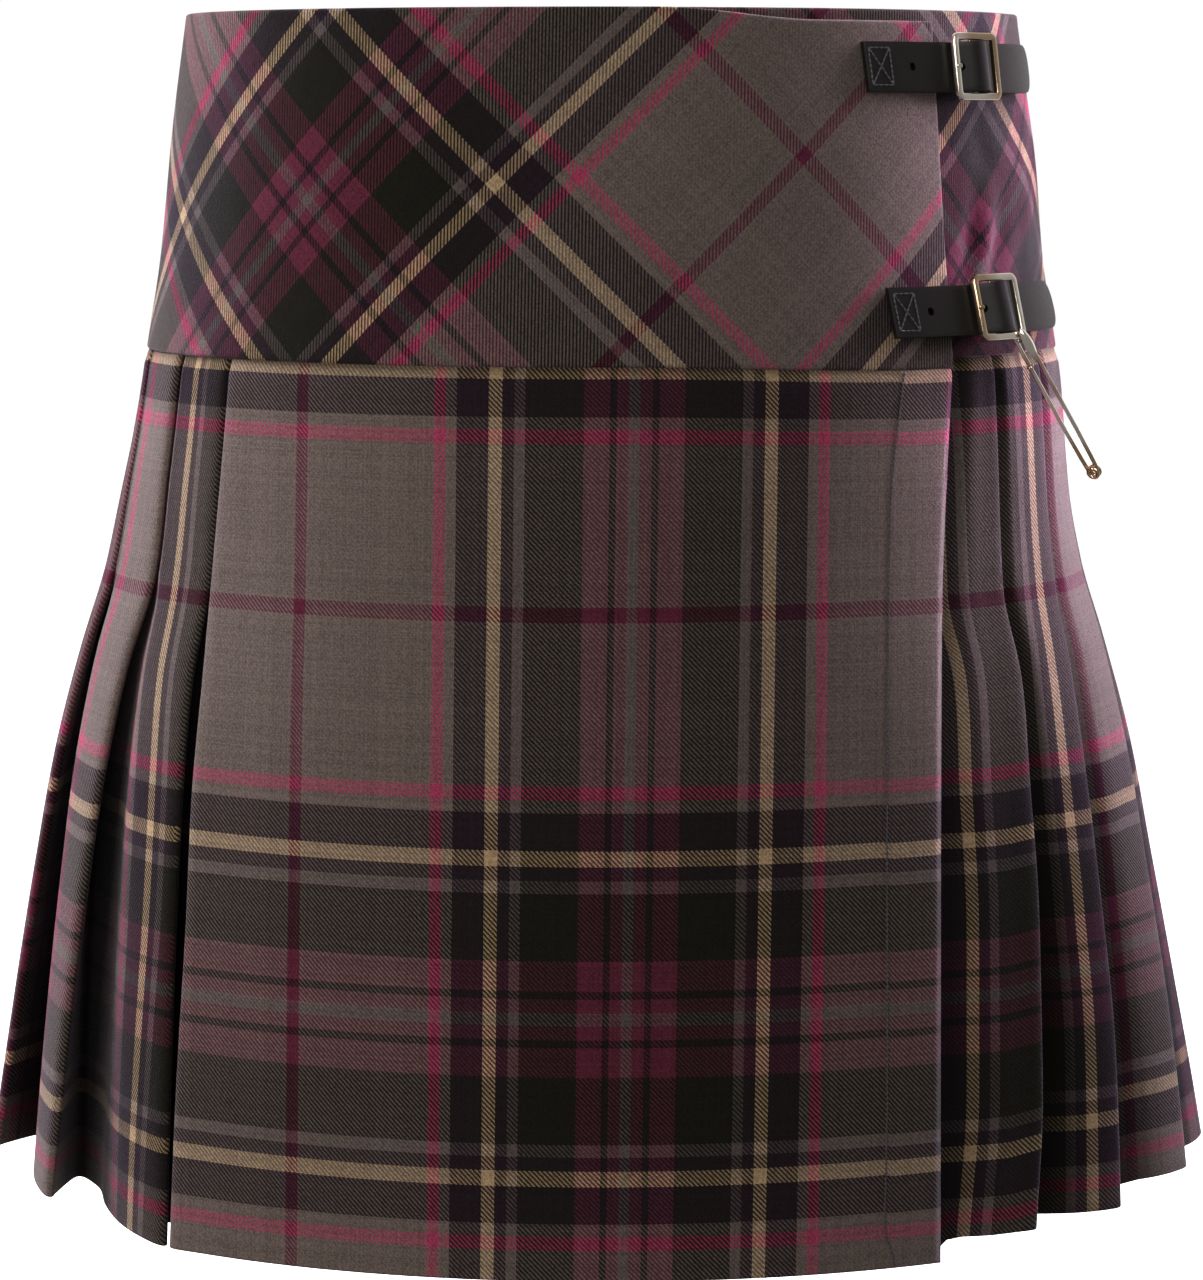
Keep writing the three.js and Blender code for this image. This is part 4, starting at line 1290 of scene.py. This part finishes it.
# The wire runs up so far and apart so far, turns over at the head, and runs back down alike.
PIN_RUN = [(6, 0.3), (12, 0.25), (40.3, 0)]
PIN_RUN_LIFT = 3.1
PIN_HEAD_TURN = -2.6
PIN_HALF_APART = 2.4
PIN_COIL = 1.85
PIN_COIL_LIFT = 2.9
PIN_CAP = (2.3, 7.4, 1.9)
PIN_CAP_AT = (-7.6, 1.6)
PIN_CAP_WALL = 0.35
PIN_CAP_NARROWS = 0.35
PIN_STOP = {"at": -15.4, "radius": 1.0, "wire": 0.42}
PIN_HANG = (9.2, -11.25, 5.18)
PIN_LEAN = 30
PIN_RAISED = 3.5

bpy.ops.mesh.primitive_circle_add(
    vertices=12, radius=PIN_WIRE, rotation=(math.pi / 2, 0, 0),
    location=(0, PIN_RUN_LIFT - PIN_LENGTH, PIN_COIL))
shaft = bpy.context.object
bpy.ops.object.transform_apply(location=True, rotation=True, scale=True)
bpy.ops.object.mode_set(mode="EDIT")
bpy.ops.mesh.select_all(action="SELECT")
for up, apart in PIN_RUN:
    bpy.ops.mesh.extrude_region_move(TRANSFORM_OT_translate={"value": (0, up, apart)})
bpy.ops.mesh.spin(steps=14, angle=-math.pi, center=(0, PIN_HEAD_TURN, 0), axis=(1, 0, 0))
for up, apart in reversed(PIN_RUN):
    bpy.ops.mesh.extrude_region_move(TRANSFORM_OT_translate={"value": (0, -up, apart)})
bpy.ops.mesh.select_all(action="SELECT")
bpy.ops.mesh.remove_doubles(threshold=0.001)
bpy.ops.mesh.normals_make_consistent(inside=False)
bpy.ops.object.mode_set(mode="OBJECT")
parts = [shaft]
for side in (-0.8, 0.8):
    bpy.ops.mesh.primitive_torus_add(
        major_radius=PIN_COIL, minor_radius=PIN_WIRE, major_segments=32, minor_segments=12,
        rotation=(0, math.pi / 2, 0), location=(side, PIN_COIL_LIFT - PIN_LENGTH, 0))
    parts.append(sized(bpy.context.object, (1, 1, 1)))
bpy.ops.mesh.primitive_uv_sphere_add(
    segments=24, ring_count=20, radius=1, rotation=(math.pi / 2, 0, 0))
cap = bpy.context.object
bpy.ops.object.transform_apply(location=True, rotation=True, scale=True)
bpy.ops.object.mode_set(mode="EDIT")
bpy.ops.mesh.select_all(action="SELECT")
bpy.ops.mesh.bisect(plane_co=(0, 0, 0), plane_no=(0, 0, 1), clear_inner=True)
bpy.ops.object.mode_set(mode="OBJECT")
for vertex in cap.data.vertices:
    x, y, z = vertex.co
    narrow = 1 - PIN_CAP_NARROWS * smooth_step(0.2, -1, y)
    x, y, z = x * PIN_CAP[0] * narrow, y * PIN_CAP[1], z * PIN_CAP[2] * narrow
    vertex.co = (x, y + PIN_CAP_AT[0], z + PIN_CAP_AT[1])
applied(cap, "SOLIDIFY", thickness=PIN_CAP_WALL, offset=-1)
parts.append(cap)
bpy.ops.mesh.primitive_torus_add(
    major_radius=PIN_STOP["radius"], minor_radius=PIN_STOP["wire"], major_segments=20,
    minor_segments=10, rotation=(math.pi / 2, 0, 0), location=(0, PIN_STOP["at"], -PIN_HALF_APART))
parts.append(sized(bpy.context.object, (1, 1, 1)))
pin = joined(parts)
strap = STRAPS[1]
hung = stand_at(strap["drop"], strap["along"], strap["tilt"]) @ Matrix.Translation(PIN_HANG)
hung = hung @ Matrix.Rotation(math.radians(PIN_LEAN), 4, "Z") @ Matrix.Translation((0, PIN_RAISED, 0))
pin.data.transform(hung)
pin = finished(pin, "kilt_pin_wire", nickel)
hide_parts("kilt_pin")
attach(pin, "pin")


corners = {"cad": cad_box, "visual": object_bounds()}
